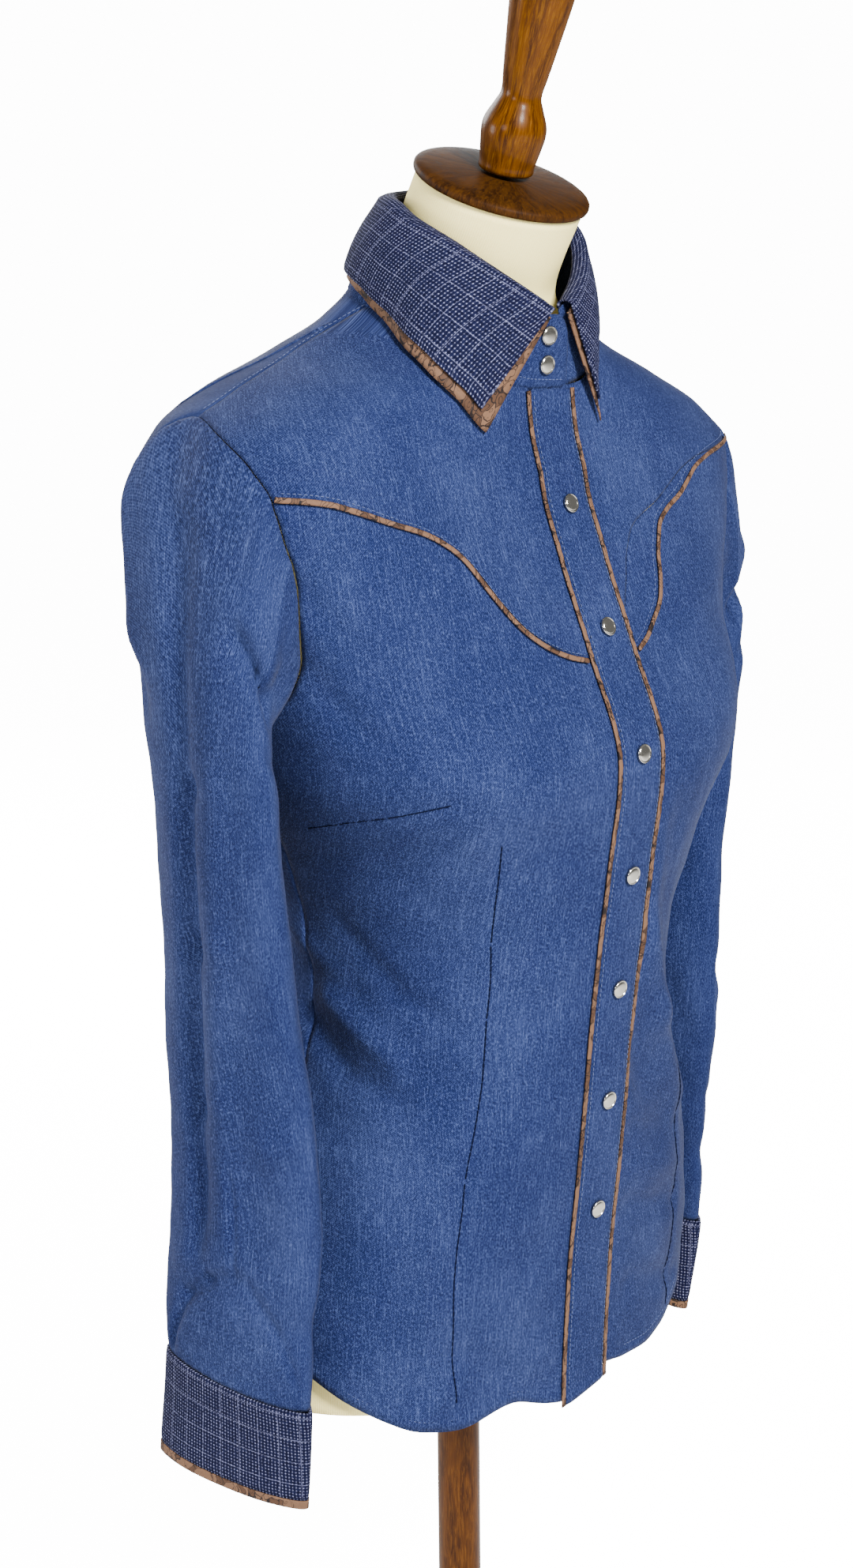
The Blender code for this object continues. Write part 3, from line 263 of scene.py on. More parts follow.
# The base's edge, by how far it lies inside the rim, and a snap's cap in shares of its size.
BASE_EDGE = [(0.03, BASE_THICK), (0.022, 0.0176), (0.014, 0.016), (0.007, 0.0132),
             (0.002, 0.0098), (0.0, 0.0066), (0.0, 0.0024), (0.0008, 0.0008), (0.0022, 0.0)]
BASE_MIDDLE = 0.02            # radius of the middle disc of its top
SNAP_PROFILE = [(0.0, 1.0), (0.2, 0.99), (0.4, 0.955), (0.58, 0.885), (0.72, 0.79), (0.79, 0.71),
                (0.82, 0.64), (0.85, 0.64), (0.89, 0.76), (0.935, 0.76), (0.975, 0.68),
                (1.0, 0.55), (1.0, 0.2), (0.97, 0.06), (0.92, 0.0), (0.0, 0.0)]

SIDES = {"right": -1.0, "left": 1.0}


# ---------------------------------------------------------------- curves and surfaces
def smooth(x, xs, ys):
    """Monotone cubic through (xs, ys), level beyond the ends."""
    x = np.clip(np.asarray(x, float), xs[0], xs[-1])
    step = np.diff(xs)
    slope = np.diff(ys) / step
    tangent = np.concatenate([slope[:1], np.zeros(len(xs) - 2), slope[-1:]])
    same = slope[1:] * slope[:-1] > 0
    w1, w2 = 2 * step[1:] + step[:-1], step[1:] + 2 * step[:-1]
    before, after = np.where(same, slope[:-1], 1.0), np.where(same, slope[1:], 1.0)
    tangent[1:-1] = np.where(same, (w1 + w2) / (w1 / before + w2 / after), 0.0)
    i = np.clip(np.searchsorted(xs, x) - 1, 0, len(xs) - 2)
    t = (x - xs[i]) / step[i]
    return (ys[i] * (1 + 2 * t) * (1 - t) ** 2 + tangent[i] * step[i] * t * (1 - t) ** 2
            + ys[i + 1] * t * t * (3 - 2 * t) + tangent[i + 1] * step[i] * t * t * (t - 1))


def unit(vectors):
    """The same directions, one metre long."""
    return vectors / np.maximum(np.linalg.norm(vectors, axis=-1, keepdims=True), 1e-12)


def distances(points, axis=0):
    """Distance of each point from the first one, measured along the points."""
    step = np.linalg.norm(np.diff(points, axis=axis), axis=-1)
    return np.insert(np.cumsum(step, axis=axis), 0, 0.0, axis=axis)


def column(data, key, x, name):
    """Column `name` of a table read at `x` along its column `key`."""
    order = np.argsort(data[key])
    return smooth(x, data[key][order], data[name][order])


def ease(x, low, high):
    """0 up to `low`, 1 from `high`, and smooth between them."""
    t = np.clip((np.asarray(x, float) - low) / (high - low), 0.0, 1.0)
    return t * t * (3 - 2 * t)


def superellipse(angle, half, front, back, centre, round_front, round_back):
    """A flattened ring by its polar angle: 0 at the front (-Y), 90 degrees at +X."""
    s, c = np.sin(angle), np.cos(angle)
    power = np.where(c > 0, round_front, round_back)
    depth = np.where(c > 0, front, back)
    reach = (np.abs(s) ** power + np.abs(c) ** power) ** (-1 / power)
    return half * s * reach, centre - depth * c * reach


def torso_raw(angle, height):
    """The body's surface at a bearing from the centre front and a height."""
    angle, height = np.broadcast_arrays(np.asarray(angle, float), np.asarray(height, float))
    half, front, back, centre, nf, nb = [
        column(TORSO, "height", height, name)
        for name in ("half_width", "front", "back", "centre", "round_front", "round_back")]
    x, y = superellipse(angle, half, front, back, centre, nf, nb)
    swell = BUST["depth"] * np.exp(-((np.abs(angle) - BUST["bearing"]) / BUST["spread"]) ** 2
                                   - ((height - BUST["height"]) / BUST["rise"]) ** 2)
    return np.stack([x + BUST["aside"] * swell * np.sin(angle), y - swell * np.cos(angle), height], -1)


def torso(angle, height, out=0.0):
    """The cloth's outer surface, moved out along its normal."""
    point = torso_raw(angle, height)
    nudge = 1e-4
    across = torso_raw(angle + nudge, height) - torso_raw(angle - nudge, height)
    up = torso_raw(angle, height + nudge) - torso_raw(angle, height - nudge)
    return point + np.asarray(out)[..., None] * unit(np.cross(across, up))


def bearing_of(out, height):
    """Bearing on the front half of a point `out` metres from the centre front."""
    share = np.clip(np.asarray(out) / column(TORSO, "height", height, "half_width"), -1, 1)
    power = column(TORSO, "height", height, "round_front")
    return np.arctan2(share, (1 - np.abs(share) ** power) ** (1 / power))


def settle(points):
    """Garment heights to the part's frame, with the slight lean of the shoulders."""
    points = np.array(points, float)
    share = ease(points[..., 2], *LEAN_IN) - ease(points[..., 2], *LEAN_OUT)
    points[..., 2] += HEM_HEIGHT - LEAN * points[..., 0] * share
    return points


def by_length(points, count):
    """`count` points along a polyline, evenly spaced."""
    points = np.asarray(points, float)
    length = distances(points)
    return at_lengths(np.linspace(0, length[-1], count), length, points)


def at_lengths(spots, length, points):
    """The points' coordinates at the given lengths along them."""
    return np.stack([np.interp(spots, length, points[:, k]) for k in range(points.shape[1])], -1)


def coons(bottom, top, left, right):
    """Grid of (bearing, height) between four edges, rows going up and columns across."""
    rise = left[:, 1] + right[:, 1]
    v = ((rise - rise[0]) / (rise[-1] - rise[0]))[:, None, None]
    u = np.linspace(0, 1, len(bottom))[None, :, None]
    ruled_u = (1 - u) * left[:, None] + u * right[:, None]
    ruled_v = (1 - v) * bottom[None] + v * top[None]
    corners = ((1 - u) * (1 - v) * bottom[0] + u * (1 - v) * bottom[-1]
               + (1 - u) * v * top[0] + u * v * top[-1])
    return ruled_u + ruled_v - corners


# ---------------------------------------------------------------- folds
# Soft folds on the body: a run from one (bearing, height) to another, how wide and how deep.
BODY_FOLDS = table("bearing height to_bearing to_height width depth", [
    # drag folds from the right side of the waist towards the front
    (-92, 0.243, -76, 0.216, 0.0065, -0.003), (-76, 0.216, -57, 0.201, 0.006, -0.0024),
    (-84, 0.256, -62, 0.226, 0.008, 0.0034), (-78, 0.3, -64, 0.265, 0.007, -0.0014),
    (-64, 0.265, -48, 0.246, 0.006, -0.001), (-96, 0.292, -80, 0.27, 0.008, 0.0016),
    (-80, 0.19, -52, 0.17, 0.009, -0.001), (-77, 0.3435, -62, 0.351, 0.0035, -0.0008),
    # the hem turns in beside the placket
    (-31, 0.046, -14, 0.006, 0.012, -0.0032), (-46, 0.012, -34, 0.03, 0.01, 0.0012),
    # pulls of the armhole
    (-58, 0.515, -50, 0.47, 0.007, -0.001), (-66, 0.47, -56, 0.42, 0.008, -0.0012),
    # left front: a long soft ridge with level folds below it
    (7, 0.372, 14, 0.284, 0.011, 0.0016), (13, 0.284, 26, 0.228, 0.012, 0.003),
    (26, 0.228, 38, 0.165, 0.013, 0.0026), (11, 0.2125, 27, 0.153, 0.0105, -0.0028),
    (12, 0.161, 33, 0.141, 0.0065, -0.002), (10, 0.1125, 34, 0.093, 0.006, -0.0022),
    (15, 0.06, 38, 0.04, 0.0065, -0.002), (14, 0.135, 36, 0.118, 0.007, 0.0012),
    (60, 0.248, 88, 0.228, 0.008, -0.0024), (58, 0.275, 84, 0.262, 0.0085, 0.0018),
    (66, 0.305, 86, 0.295, 0.007, -0.0012), (58, 0.515, 50, 0.475, 0.007, -0.001),
    # back: folds across the small of the back and below the armholes
    (148, 0.268, 205, 0.26, 0.01, -0.0026), (160, 0.292, 214, 0.3, 0.009, -0.0018),
    (150, 0.28, 200, 0.282, 0.01, 0.0016), (140, 0.238, 178, 0.23, 0.009, -0.0016),
    (186, 0.236, 222, 0.246, 0.008, -0.0014), (118, 0.44, 132, 0.37, 0.01, -0.0022),
    (241, 0.445, 228, 0.38, 0.01, -0.002), (110, 0.215, 136, 0.188, 0.01, -0.0018),
    (250, 0.222, 226, 0.196, 0.01, -0.0016), (160, 0.06, 158, 0.15, 0.018, 0.0022),
    (204, 0.04, 206, 0.14, 0.018, 0.002)])
# Sewn darts: each is sewn along a fine groove.
DARTS = table("bearing height to_bearing to_height", [
    (-78, 0.361, -44, 0.383), (78, 0.36, 45, 0.382), (-36, 0.356, -40, 0.294),
    (-40, 0.294, -40, 0.25), (-40, 0.25, -36.5, 0.157), (-36.5, 0.157, -33, 0.02),
    (37, 0.356, 41, 0.293), (41, 0.293, 40, 0.24), (40, 0.24, 36, 0.15), (36, 0.15, 33, 0.024),
    (148, 0.43, 146, 0.27), (146, 0.27, 150, 0.12), (212, 0.43, 214, 0.27), (214, 0.27, 210, 0.12)])
DART_WIDTH, DART_DEPTH = 0.0032, -0.001
FOLD_DEPTH, FOLD_LIMIT = 1.8, 0.004  # times the depths above, and the deepest a fold goes
FLAT_BEARING = (5.0, 14.0)    # the placket stays flat: folds grow between these bearings
CALM_HEIGHT, CALM_SHARE = (0.545, 0.59), 0.6  # the cloth lies calm on the shoulders
BEHIND = 100                  # bearings past this lie behind the side seams
BODY_RADIUS, SLEEVE_RADIUS = 0.135, 0.047

# The same along the sleeves, by clock angle round the sleeve: 0 is its front, 90 its outside.
SLEEVE_CREASES = table("clock height to_clock to_height width depth", [
    # the long trough at the back of the arm and the ridge in front of it
    (84, 0.53, 86, 0.393, 0.0078, -0.005), (86, 0.393, 92, 0.301, 0.0078, -0.0078),
    (92, 0.301, 106, 0.206, 0.0078, -0.008), (106, 0.206, 112, 0.125, 0.0076, -0.006),
    (60, 0.5, 58, 0.399, 0.01, 0.0022), (58, 0.399, 64, 0.309, 0.0095, 0.003),
    (64, 0.309, 80, 0.215, 0.0092, 0.0034), (80, 0.215, 88, 0.141, 0.0085, 0.0028),
    # the cloth folds in at the front of the armpit
    (46, 0.478, 20, 0.46, 0.006, -0.0066), (20, 0.46, -18, 0.44, 0.007, -0.0096),
    (52, 0.495, 14, 0.48, 0.008, 0.0036), (142, 0.452, 128, 0.434, 0.008, -0.003),
    (150, 0.478, 132, 0.462, 0.01, 0.0018), (10, 0.425, -30, 0.408, 0.007, -0.002),
    # the sleeve stands on its cuff: a lip, a swelling under it and small folds beside it
    (146, 0.062, 124, 0.094, 0.0045, -0.0044), (124, 0.094, 102, 0.108, 0.0042, -0.0044),
    (102, 0.108, 80, 0.114, 0.0042, -0.0036), (128, 0.072, 86, 0.09, 0.011, 0.0036),
    (132, 0.112, 90, 0.13, 0.009, 0.0018), (72, 0.112, 48, 0.087, 0.0042, -0.0022),
    (48, 0.087, 24, 0.059, 0.004, -0.0018), (80, 0.175, 82, 0.114, 0.0022, -0.0016),
    (42, 0.201, 8, 0.221, 0.006, -0.0022), (56, 0.172, 24, 0.185, 0.0055, -0.0018),
    (50, 0.188, 14, 0.205, 0.007, 0.0014), (30, 0.125, 2, 0.137, 0.006, -0.0014),
    # inside of the arm and the back of the elbow
    (206, 0.305, 300, 0.286, 0.0095, -0.0032), (196, 0.262, 262, 0.248, 0.0085, -0.003),
    (204, 0.284, 280, 0.268, 0.009, 0.0018), (190, 0.226, 300, 0.212, 0.008, -0.0024),
    (176, 0.42, 230, 0.39, 0.01, -0.0034), (190, 0.122, 250, 0.1, 0.006, -0.0028),
    (250, 0.082, 310, 0.098, 0.006, -0.0024), (168, 0.5, 182, 0.42, 0.012, -0.0024)])
LEFT_TURN, LEFT_DROP = 7.0, -0.008  # the left sleeve's folds lie a little elsewhere
FADE_TOP, FADE_BOTTOM = 0.01, 0.03  # folds fade out over these lengths at a sleeve's ends
# Unevenness of worn cloth: lengths of its waves and their height as a share of that.
RUMPLE_SIZES, RUMPLE_SHARE, RUMPLE_UP = (0.11, 0.083, 0.064, 0.047, 0.036, 0.027, 0.021), 0.0042, 1.3
BODY_SEED, SLEEVE_SEED = 5, {"right": 12, "left": 21}
BODY_SPREAD, SLEEVE_SPREAD, SLEEVE_DRIFT = 0.17, 0.048, 0.02  # metres the waves run across


def runs(data, across, height, radius, turns=False):
    """Sum of soft folds at points given by an angle in degrees and a height."""
    total = np.zeros(np.broadcast(across, height).shape)
    for at, low, to, high, width, depth in zip(*data.values()):
        away = across - at
        if turns:
            away = (away + 180) % 360 - 180
        du, dv = np.radians(away) * radius, height - low
        run_u, run_v = math.radians(to - at) * radius, high - low
        length = run_u ** 2 + run_v ** 2
        along = np.clip((du * run_u + dv * run_v) / length, 0, 1)
        off = (du - along * run_u) ** 2 + (dv - along * run_v) ** 2
        swell = 0.55 + 0.45 * np.sin(math.pi * (0.12 + 0.76 * along))       # fuller in its middle
        total += depth * swell * np.exp(-off / width ** 2)
    return total


def rumple(across, up, seed):
    """Slight unevenness of worn cloth, from a few crossed waves."""
    draw = np.random.RandomState(seed)
    total = 0.0
    for size in RUMPLE_SIZES:
        turn, start = draw.uniform(0, math.pi), draw.uniform(0, 2 * math.pi)
        wave = np.cos(turn) * across + RUMPLE_UP * np.sin(turn) * up
        total = total + RUMPLE_SHARE * size * np.sin(2 * math.pi * wave / size + start)
    return total


def split_behind(data):
    """The rows of a table of runs in front of the side seams, and those behind them."""
    behind = data["bearing"] > BEHIND
    return [{name: values[rows] for name, values in data.items()} for rows in (~behind, behind)]


def body_relief(bearing, height):
    """How far the body's cloth stands out from its plain form at (bearing, height)."""
    degrees = np.degrees(bearing)
    around = degrees % 360
    signed = np.where(around > 180, around - 360, around)
    count = np.ones(len(DARTS["height"]))
    seams = dict(DARTS, width=DART_WIDTH * count, depth=DART_DEPTH * count)
    folds, darts = (runs(front, signed, height, BODY_RADIUS) + runs(back, around, height, BODY_RADIUS)
                    for front, back in map(split_behind, (BODY_FOLDS, seams)))
    folds *= FOLD_DEPTH
    folds = np.where(folds < 0, FOLD_LIMIT * np.tanh(folds / FOLD_LIMIT), folds)
    uneven = rumple(np.sin(np.radians(signed)) * BODY_SPREAD + 0.03, height, BODY_SEED)
    centre = ease(np.abs(signed), *FLAT_BEARING)
    loose = 1 - ease(height, *CALM_HEIGHT)
    return centre * (folds * loose + uneven * (1 - CALM_SHARE + CALM_SHARE * loose)) + darts


def worn(bearing, height, level=0.0):
    """Point on the worn cloth, `level` above the panels."""
    return torso(bearing, height, np.asarray(level) + body_relief(bearing, height))


def body_outward(bearing, height):
    """The way the body's surface faces."""
    return unit(torso(bearing, height, 0.01) - torso(bearing, height, 0.0))


# ---------------------------------------------------------------- meshes
def refine(grid, row_times=1, column_times=1):
    """A finer grid through the same points, smooth along rows and columns."""
    for axis, times in ((0, row_times), (1, column_times)):
        if times == 1:
            continue
        grid = np.moveaxis(grid, axis, 0)
        ahead = np.concatenate([grid[1:], 2 * grid[-1:] - grid[-2:-1]])
        before = np.concatenate([2 * grid[:1] - grid[1:2], grid[:-1]])
        slope = 0.5 * (ahead - before)
        starts = len(grid) - 1
        t = np.linspace(0, 1, times, endpoint=False).reshape(1, -1, *[1] * (grid.ndim - 1))
        p, m = grid[:starts, None], slope[:starts, None]
        q, n = grid[1:, None], slope[1:, None]
        run = (p * (1 + 2 * t) * (1 - t) ** 2 + m * t * (1 - t) ** 2
               + q * t * t * (3 - 2 * t) + n * t * t * (t - 1))
        grid = np.moveaxis(np.concatenate([run.reshape(-1, *grid.shape[1:]), grid[-1:]]), 0, axis)
    return grid


def normals(grid, closed=False):
    """Directions square to a grid of points."""
    if closed:
        across = np.roll(grid, -1, axis=1) - np.roll(grid, 1, axis=1)
    else:
        across = np.gradient(grid, axis=1)
    return unit(np.cross(across, np.gradient(grid, axis=0)))


def edge_distance(grid, side):
    """Distance of each point from one side of the grid, measured over the cloth."""
    axis = 0 if side in ("bottom", "top") else 1
    run = distances(grid, axis)
    if side in ("top", "right"):
        run = run.max(axis=axis, keepdims=True) - run
    return run


def seamed(grid, sides, hem=None, closed=False):
    """Turns the named sides in where they are sewn; a hem is a slightly thicker band."""
    normal = normals(grid, closed)
    away = grid - grid.mean(axis=(0, 1))
    away[..., 2] = 0
    if np.sum(normal * away) < 0:
        normal = -normal
    amount = np.zeros(grid.shape[:2])
    for side in sides:
        off = edge_distance(grid, side)
        amount -= ROLL * np.exp(-(off / ROLL_WIDTH) ** 2)
        along = edge_distance(grid, "left" if side in ("bottom", "top") else "bottom")
        amount += (PUCKER * np.sin(along * PUCKER_TURNS)
                   * np.exp(-((off - PUCKER_AT) / PUCKER_WIDTH) ** 2))
    if hem:
        off = edge_distance(grid, hem)
        amount += HEM_THICK * (1 - ease(off, HEM_BAND - 0.0008, HEM_BAND + 0.0002))
        amount -= HEM_GROOVE * np.exp(-((off - HEM_BAND) / HEM_GROOVE_WIDTH) ** 2)
    return grid + amount[..., None] * normal


def cloth_map(grid, closed=False):
    """Distances over the cloth in metres: across from the middle column and up the rows."""
    full = np.concatenate([grid, grid[:, :1]], axis=1) if closed else grid
    across, up = distances(full, 1), distances(full).mean(axis=1, keepdims=True)
    across = across - across[:, full.shape[1] // 2][:, None]
    return np.stack([across, np.repeat(up, full.shape[1], axis=1)], -1)


def shell_object(name, grid, uv, finish, closed=False, flip=False, thickness=WALL):
    """A grid of points as a mesh, joined round its rows where it is closed."""
    rows, columns = grid.shape[:2]
    wide = columns if closed else columns - 1
    index = np.arange(rows * columns).reshape(rows, columns)
    i, j = np.meshgrid(np.arange(rows - 1), np.arange(wide), indexing="ij")
    k = (j + 1) % columns
    faces = np.stack([index[i, j], index[i, k], index[i + 1, k], index[i + 1, j]], -1).reshape(-1, 4)
    spots = np.stack([uv[i, j], uv[i, j + 1], uv[i + 1, j + 1], uv[i + 1, j]], -2).reshape(-1, 4, 2)
    if flip:
        faces, spots = faces[:, ::-1], spots[:, ::-1]
    mesh = bpy.data.meshes.new(name)
    mesh.from_pydata(grid.reshape(-1, 3).tolist(), [], faces.tolist())
    layer = mesh.uv_layers.new(name="cloth")
    layer.data.foreach_set("uv", spots.reshape(-1).astype(np.float32))
    return dressed(name, mesh, finish, thickness)


def dressed(name, mesh, finish, thickness=None):
    """Links a mesh with its material and lets it ride on the frame's one body."""
    mesh.materials.append(material(finish))
    mesh.shade_smooth()
    made = bpy.data.objects.new(name, mesh)
    bpy.context.scene.collection.objects.link(made)
    if thickness:
        solid = made.modifiers.new("thickness", "SOLIDIFY")
        solid.thickness = thickness
        solid.offset = -1
        solid.use_quality_normals = True
    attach(made, "root")
    return made


def surface_area(grid, closed=False):
    """Area of the cloth in a grid of points."""
    full = np.concatenate([grid, grid[:, :1]], axis=1) if closed else grid
    across, up = full[:-1, 1:] - full[:-1, :-1], full[1:, :-1] - full[:-1, :-1]
    return float(np.linalg.norm(np.cross(across, up), axis=-1).sum())


def sheet(name, grid, finish, node, sides=(), hem=None, closed=False, flip=False, thickness=WALL,
          rests_on=("form_torso",), declare=True, uv=None):
    """One cloth piece: shaped, seamed, mapped and declared with the flat size of its cut."""
    grid = seamed(grid, sides, hem, closed)
    uv = cloth_map(grid, closed) if uv is None else uv
    made = shell_object(name, settle(grid), uv, finish, closed, flip, thickness)
    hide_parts(node)
    if declare:
        cut = cloth_map(grid, closed)
        width = float((cut[..., 0].max(axis=1) - cut[..., 0].min(axis=1)).max())
        length = float(edge_distance(grid, "bottom").max())
        area = min(surface_area(grid, closed), width * length)
        DECLARED[name] = (made, (width, length), area, list(rests_on))
    return made


SHARP = math.radians(38)      # turned edges sharper than this stay crisp


def lathe(name, profile, finish, segments, base, turn, node):
    """A turned piece: (radius, height) from the top down, about its own axis."""
    profile = np.asarray(profile, float)
    angle = np.linspace(0, 2 * math.pi, segments, endpoint=False)
    ring = np.stack([np.cos(angle), np.sin(angle)], -1)
    inner = profile[1:-1]
    mesh = bpy.data.meshes.new(name)
    form = bmesh.new()
    layer = form.loops.layers.uv.new("cloth")
    place = Matrix.Translation(base) @ turn
    rows = [[form.verts.new(place @ Vector((r * x, r * y, h))) for x, y in ring] for r, h in inner]
    length = distances(inner)
    around = float(inner[:, 0].max()) * 2 * math.pi
    for i, (upper, lower) in enumerate(zip(rows, rows[1:])):
        for j in range(segments):
            k = (j + 1) % segments
            face = form.faces.new((upper[j], lower[j], lower[k], upper[k]))
            spots = [(j, i), (j, i + 1), (j + 1, i + 1), (j + 1, i)]
            for loop, (a, b) in zip(face.loops, spots):
                loop[layer].uv = (a / segments * around, -length[b])
    for row, (r, h), outward in ((rows[0], profile[0], 1), (rows[-1], profile[-1], -1)):
        tip = form.verts.new(place @ Vector((0, 0, h)))
        for j in range(segments):
            pair = (row[j], row[(j + 1) % segments])
            face = form.faces.new((tip, *pair) if outward > 0 else (tip, *pair[::-1]))
            for loop in face.loops:
                spot = place.inverted() @ loop.vert.co
                loop[layer].uv = (spot.x, spot.y)
    form.to_mesh(mesh)
    form.free()
    made = dressed(name, mesh, finish)
    mesh.set_sharp_from_angle(angle=SHARP)
    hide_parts(node)
    return made


SPINDLE = ((-0.5, 0.45), (-0.25, 1.0), (0.25, 1.0), (0.5, 0.45))  # (share of its length, fatness)
SPINDLE_SIDES, SPINDLE_WIDE, SPINDLE_RISE, SPINDLE_DIP = 6, 1.25, 0.35, 1.6


def stitches(name, paths, length=0.0021, gap=0.0009, thick=0.00022, finish="thread"):
    """Short spindles of thread laid end to end along runs of (point, normal)."""
    verts, faces = [], []
    for points, outward in paths:
        reach = distances(points)
        for at in np.arange(0.5 * length, reach[-1] - 0.5 * length, length + gap):
            spot, ahead_spot, up = [at_lengths(where, reach, what) for where, what in (
                (at, points), (at + 1e-4, points), (at, outward))]
            ahead = unit(ahead_spot - spot)
            side = np.cross(up, ahead)
            first, sides = len(verts), SPINDLE_SIDES
            for share, fat in SPINDLE:
                lift = thick * (SPINDLE_RISE - SPINDLE_DIP * share * share)
                for a in 2 * math.pi * np.arange(sides) / sides:
                    off = fat * thick * (math.cos(a) * side * SPINDLE_WIDE + math.sin(a) * up)
                    verts.append(spot + share * length * ahead + lift * up + off)
            for ring in range(len(SPINDLE) - 1):
                for s in range(sides):
                    a, b = first + ring * sides + s, first + ring * sides + (s + 1) % sides
                    faces.append((a, b, b + sides, a + sides))
            faces.append(tuple(first + s for s in range(sides))[::-1])
            faces.append(tuple(first + (len(SPINDLE) - 1) * sides + s for s in range(sides)))
    mesh = bpy.data.meshes.new(name)
    mesh.from_pydata([tuple(v) for v in verts], [], faces)
    return dressed(name, mesh, finish)


def body_run(bearing, height, level=0.0):
    """A stitch run on the worn body: points and the directions they face."""
    return settle(worn(bearing, height, level)), body_outward(bearing, height)


# ---------------------------------------------------------------- materials
class Nodes:
    """Small helper that adds shader nodes and joins their sockets."""

    def __init__(self, name):
        self.material = bpy.data.materials.new(name)
        self.material.use_nodes = True
        self.tree = self.material.node_tree
        self.shader = self.tree.nodes["Principled BSDF"]

    def add(self, kind, inputs=None, **settings):
        node = self.tree.nodes.new(kind)
        for key, value in settings.items():
            setattr(node, key, value)
        for key, value in (inputs or {}).items():
            self.feed(node, key, value)
        return node

    def feed(self, node, key, value):
        if isinstance(value, bpy.types.NodeSocket):
            self.tree.links.new(value, node.inputs[key])
        else:
            node.inputs[key].default_value = value

    def math(self, operation, *values, clamp=False, kind="ShaderNodeMath"):
        """The values taken together one after another; only the last result is clamped."""
        result, last = values[0], len(values) - 1
        for number, value in enumerate(values[1:] or [None], 1):
            inputs = {0: result} if value is None else {0: result, 1: value}
            node = self.add(kind, inputs, operation=operation)
            if clamp and number == last:
                node.use_clamp = True
            result = node.outputs[0]
        return result

    def plus(self, *values, clamp=False):
        return self.math("ADD", *values, clamp=clamp)

    def times(self, *values, clamp=False):
        return self.math("MULTIPLY", *values, clamp=clamp)

    def mix(self, factor, low, high):
        node = self.add("ShaderNodeMix", {0: factor, 6: low, 7: high}, data_type="RGBA")
        return node.outputs[2]

    def span(self, value, low, high, to_low=0.0, to_high=1.0):
        """`value` carried from one range to another, held at both ends."""
        inputs = dict(enumerate((value, low, high, to_low, to_high)))
        return self.add("ShaderNodeMapRange", inputs, interpolation_type="SMOOTHSTEP").outputs[0]

    def cloth(self):
        """The cloth's own (across, up) in metres."""
        return self.add("ShaderNodeUVMap", uv_map="cloth").outputs[0]

    def parts(self, vector):
        return self.add("ShaderNodeSeparateXYZ", {0: vector}).outputs

    def scaled(self, vector, x, y, turn=0.0):
        inputs = {"Vector": vector, "Scale": (x, y, 1.0), "Rotation": (0, 0, turn)}
        return self.add("ShaderNodeMapping", inputs).outputs[0]

    def noise(self, vector, scale=1.0, detail=2.0, rough=0.5, warp=0.0, output=0):
        inputs = {"Vector": vector, "Scale": scale, "Detail": detail, "Roughness": rough,
                  "Distortion": warp}
        return self.add("ShaderNodeTexNoise", inputs).outputs[output]

    def wavering(self, vector, scale, by, detail=2.0):
        """The vector pushed to and fro by `by`, in patches 1 / `scale` long."""
        push = self.noise(self.scaled(vector, scale, scale), detail=detail, output=1)
        push = self.math("SUBTRACT", push, (0.5, 0.5, 0.5), kind="ShaderNodeVectorMath")
        push = self.math("MULTIPLY", push, (by, by, 0), kind="ShaderNodeVectorMath")
        return self.math("ADD", vector, push, kind="ShaderNodeVectorMath")

    def finish(self, colour, rough, bump=None, strength=0.5, distance=0.0002, **shader):
        self.feed(self.shader, "Base Color", colour)
        self.feed(self.shader, "Roughness", rough)
        for key, value in shader.items():
            self.feed(self.shader, key.replace("_", " "), value)
        if bump is not None:
            node = self.add("ShaderNodeBump", {"Height": bump, "Strength": strength,
                                               "Distance": distance})
            self.feed(self.shader, "Normal", node.outputs[0])
        return self.material


# Colours as red, green, blue and one.
DENIM_DARK, DENIM_MID = (0.0017, 0.004, 0.023, 1), (0.0053, 0.0105, 0.05, 1)
DENIM_PALE = (0.066, 0.094, 0.228, 1)
TWEED_NAVY, TWEED_BLUE = (0.0009, 0.0012, 0.01, 1), (0.003, 0.0042, 0.022, 1)
TWEED_PALE = (0.24, 0.25, 0.42, 1)
BASKET = 0.002                # one repeat of the basket weave
PANE_ACROSS, PANE_UP, PANE_WIDE = 0.0126, 0.0144, 0.00034  # the pale checks and their lines
PAISLEY_TAN, PAISLEY_BROWN = (0.125, 0.066, 0.037, 1), (0.036, 0.016, 0.008, 1)
PAISLEY_INK = (0.006, 0.004, 0.004, 1)
MOTIFS, MOTIF_RINGS = (200, 150), 11.0  # motifs a metre, and rings inside them
NICKEL = (0.44, 0.42, 0.375, 1)
JERSEY_PALE, JERSEY_DEEP = (0.98, 0.87, 0.38, 1), (0.92, 0.75, 0.27, 1)
RIB = 0.0013                  # one rib of the jersey
# Varnished woods: dark, mid and pale, how many times longer the grain is than wide, the
# varnish's weight and the wood's roughness.
WOODS = {
    "finial_wood": ((0.024, 0.006, 0.0002, 1), (0.072, 0.022, 0.0005, 1), (0.135, 0.05, 0.0012, 1),
                    9, 0.08, 0.3),
    "stand_wood": ((0.022, 0.0058, 0.0006, 1), (0.06, 0.019, 0.0018, 1), (0.11, 0.04, 0.0045, 1),
                   10, 0.1, 0.3),
    "cap_wood": ((0.01, 0.003, 0.0005, 1), (0.032, 0.011, 0.0012, 1), (0.062, 0.023, 0.0026, 1),
                 3, 0.0, 0.52)}
# Threads: two tones, the roughness and the gloss. The darker one is painted shade: laid unbroken along
# each dart, it stands for the shadow of the dart's fold.
THREADS = {"thread": ((0.014, 0.025, 0.09, 1), (0.06, 0.085, 0.2, 1), 0.6, 0.5),
           "painted_dart_shadow": ((0.0008, 0.0014, 0.007, 1), (0.0024, 0.0042, 0.018, 1), 0.9, 0.05)}


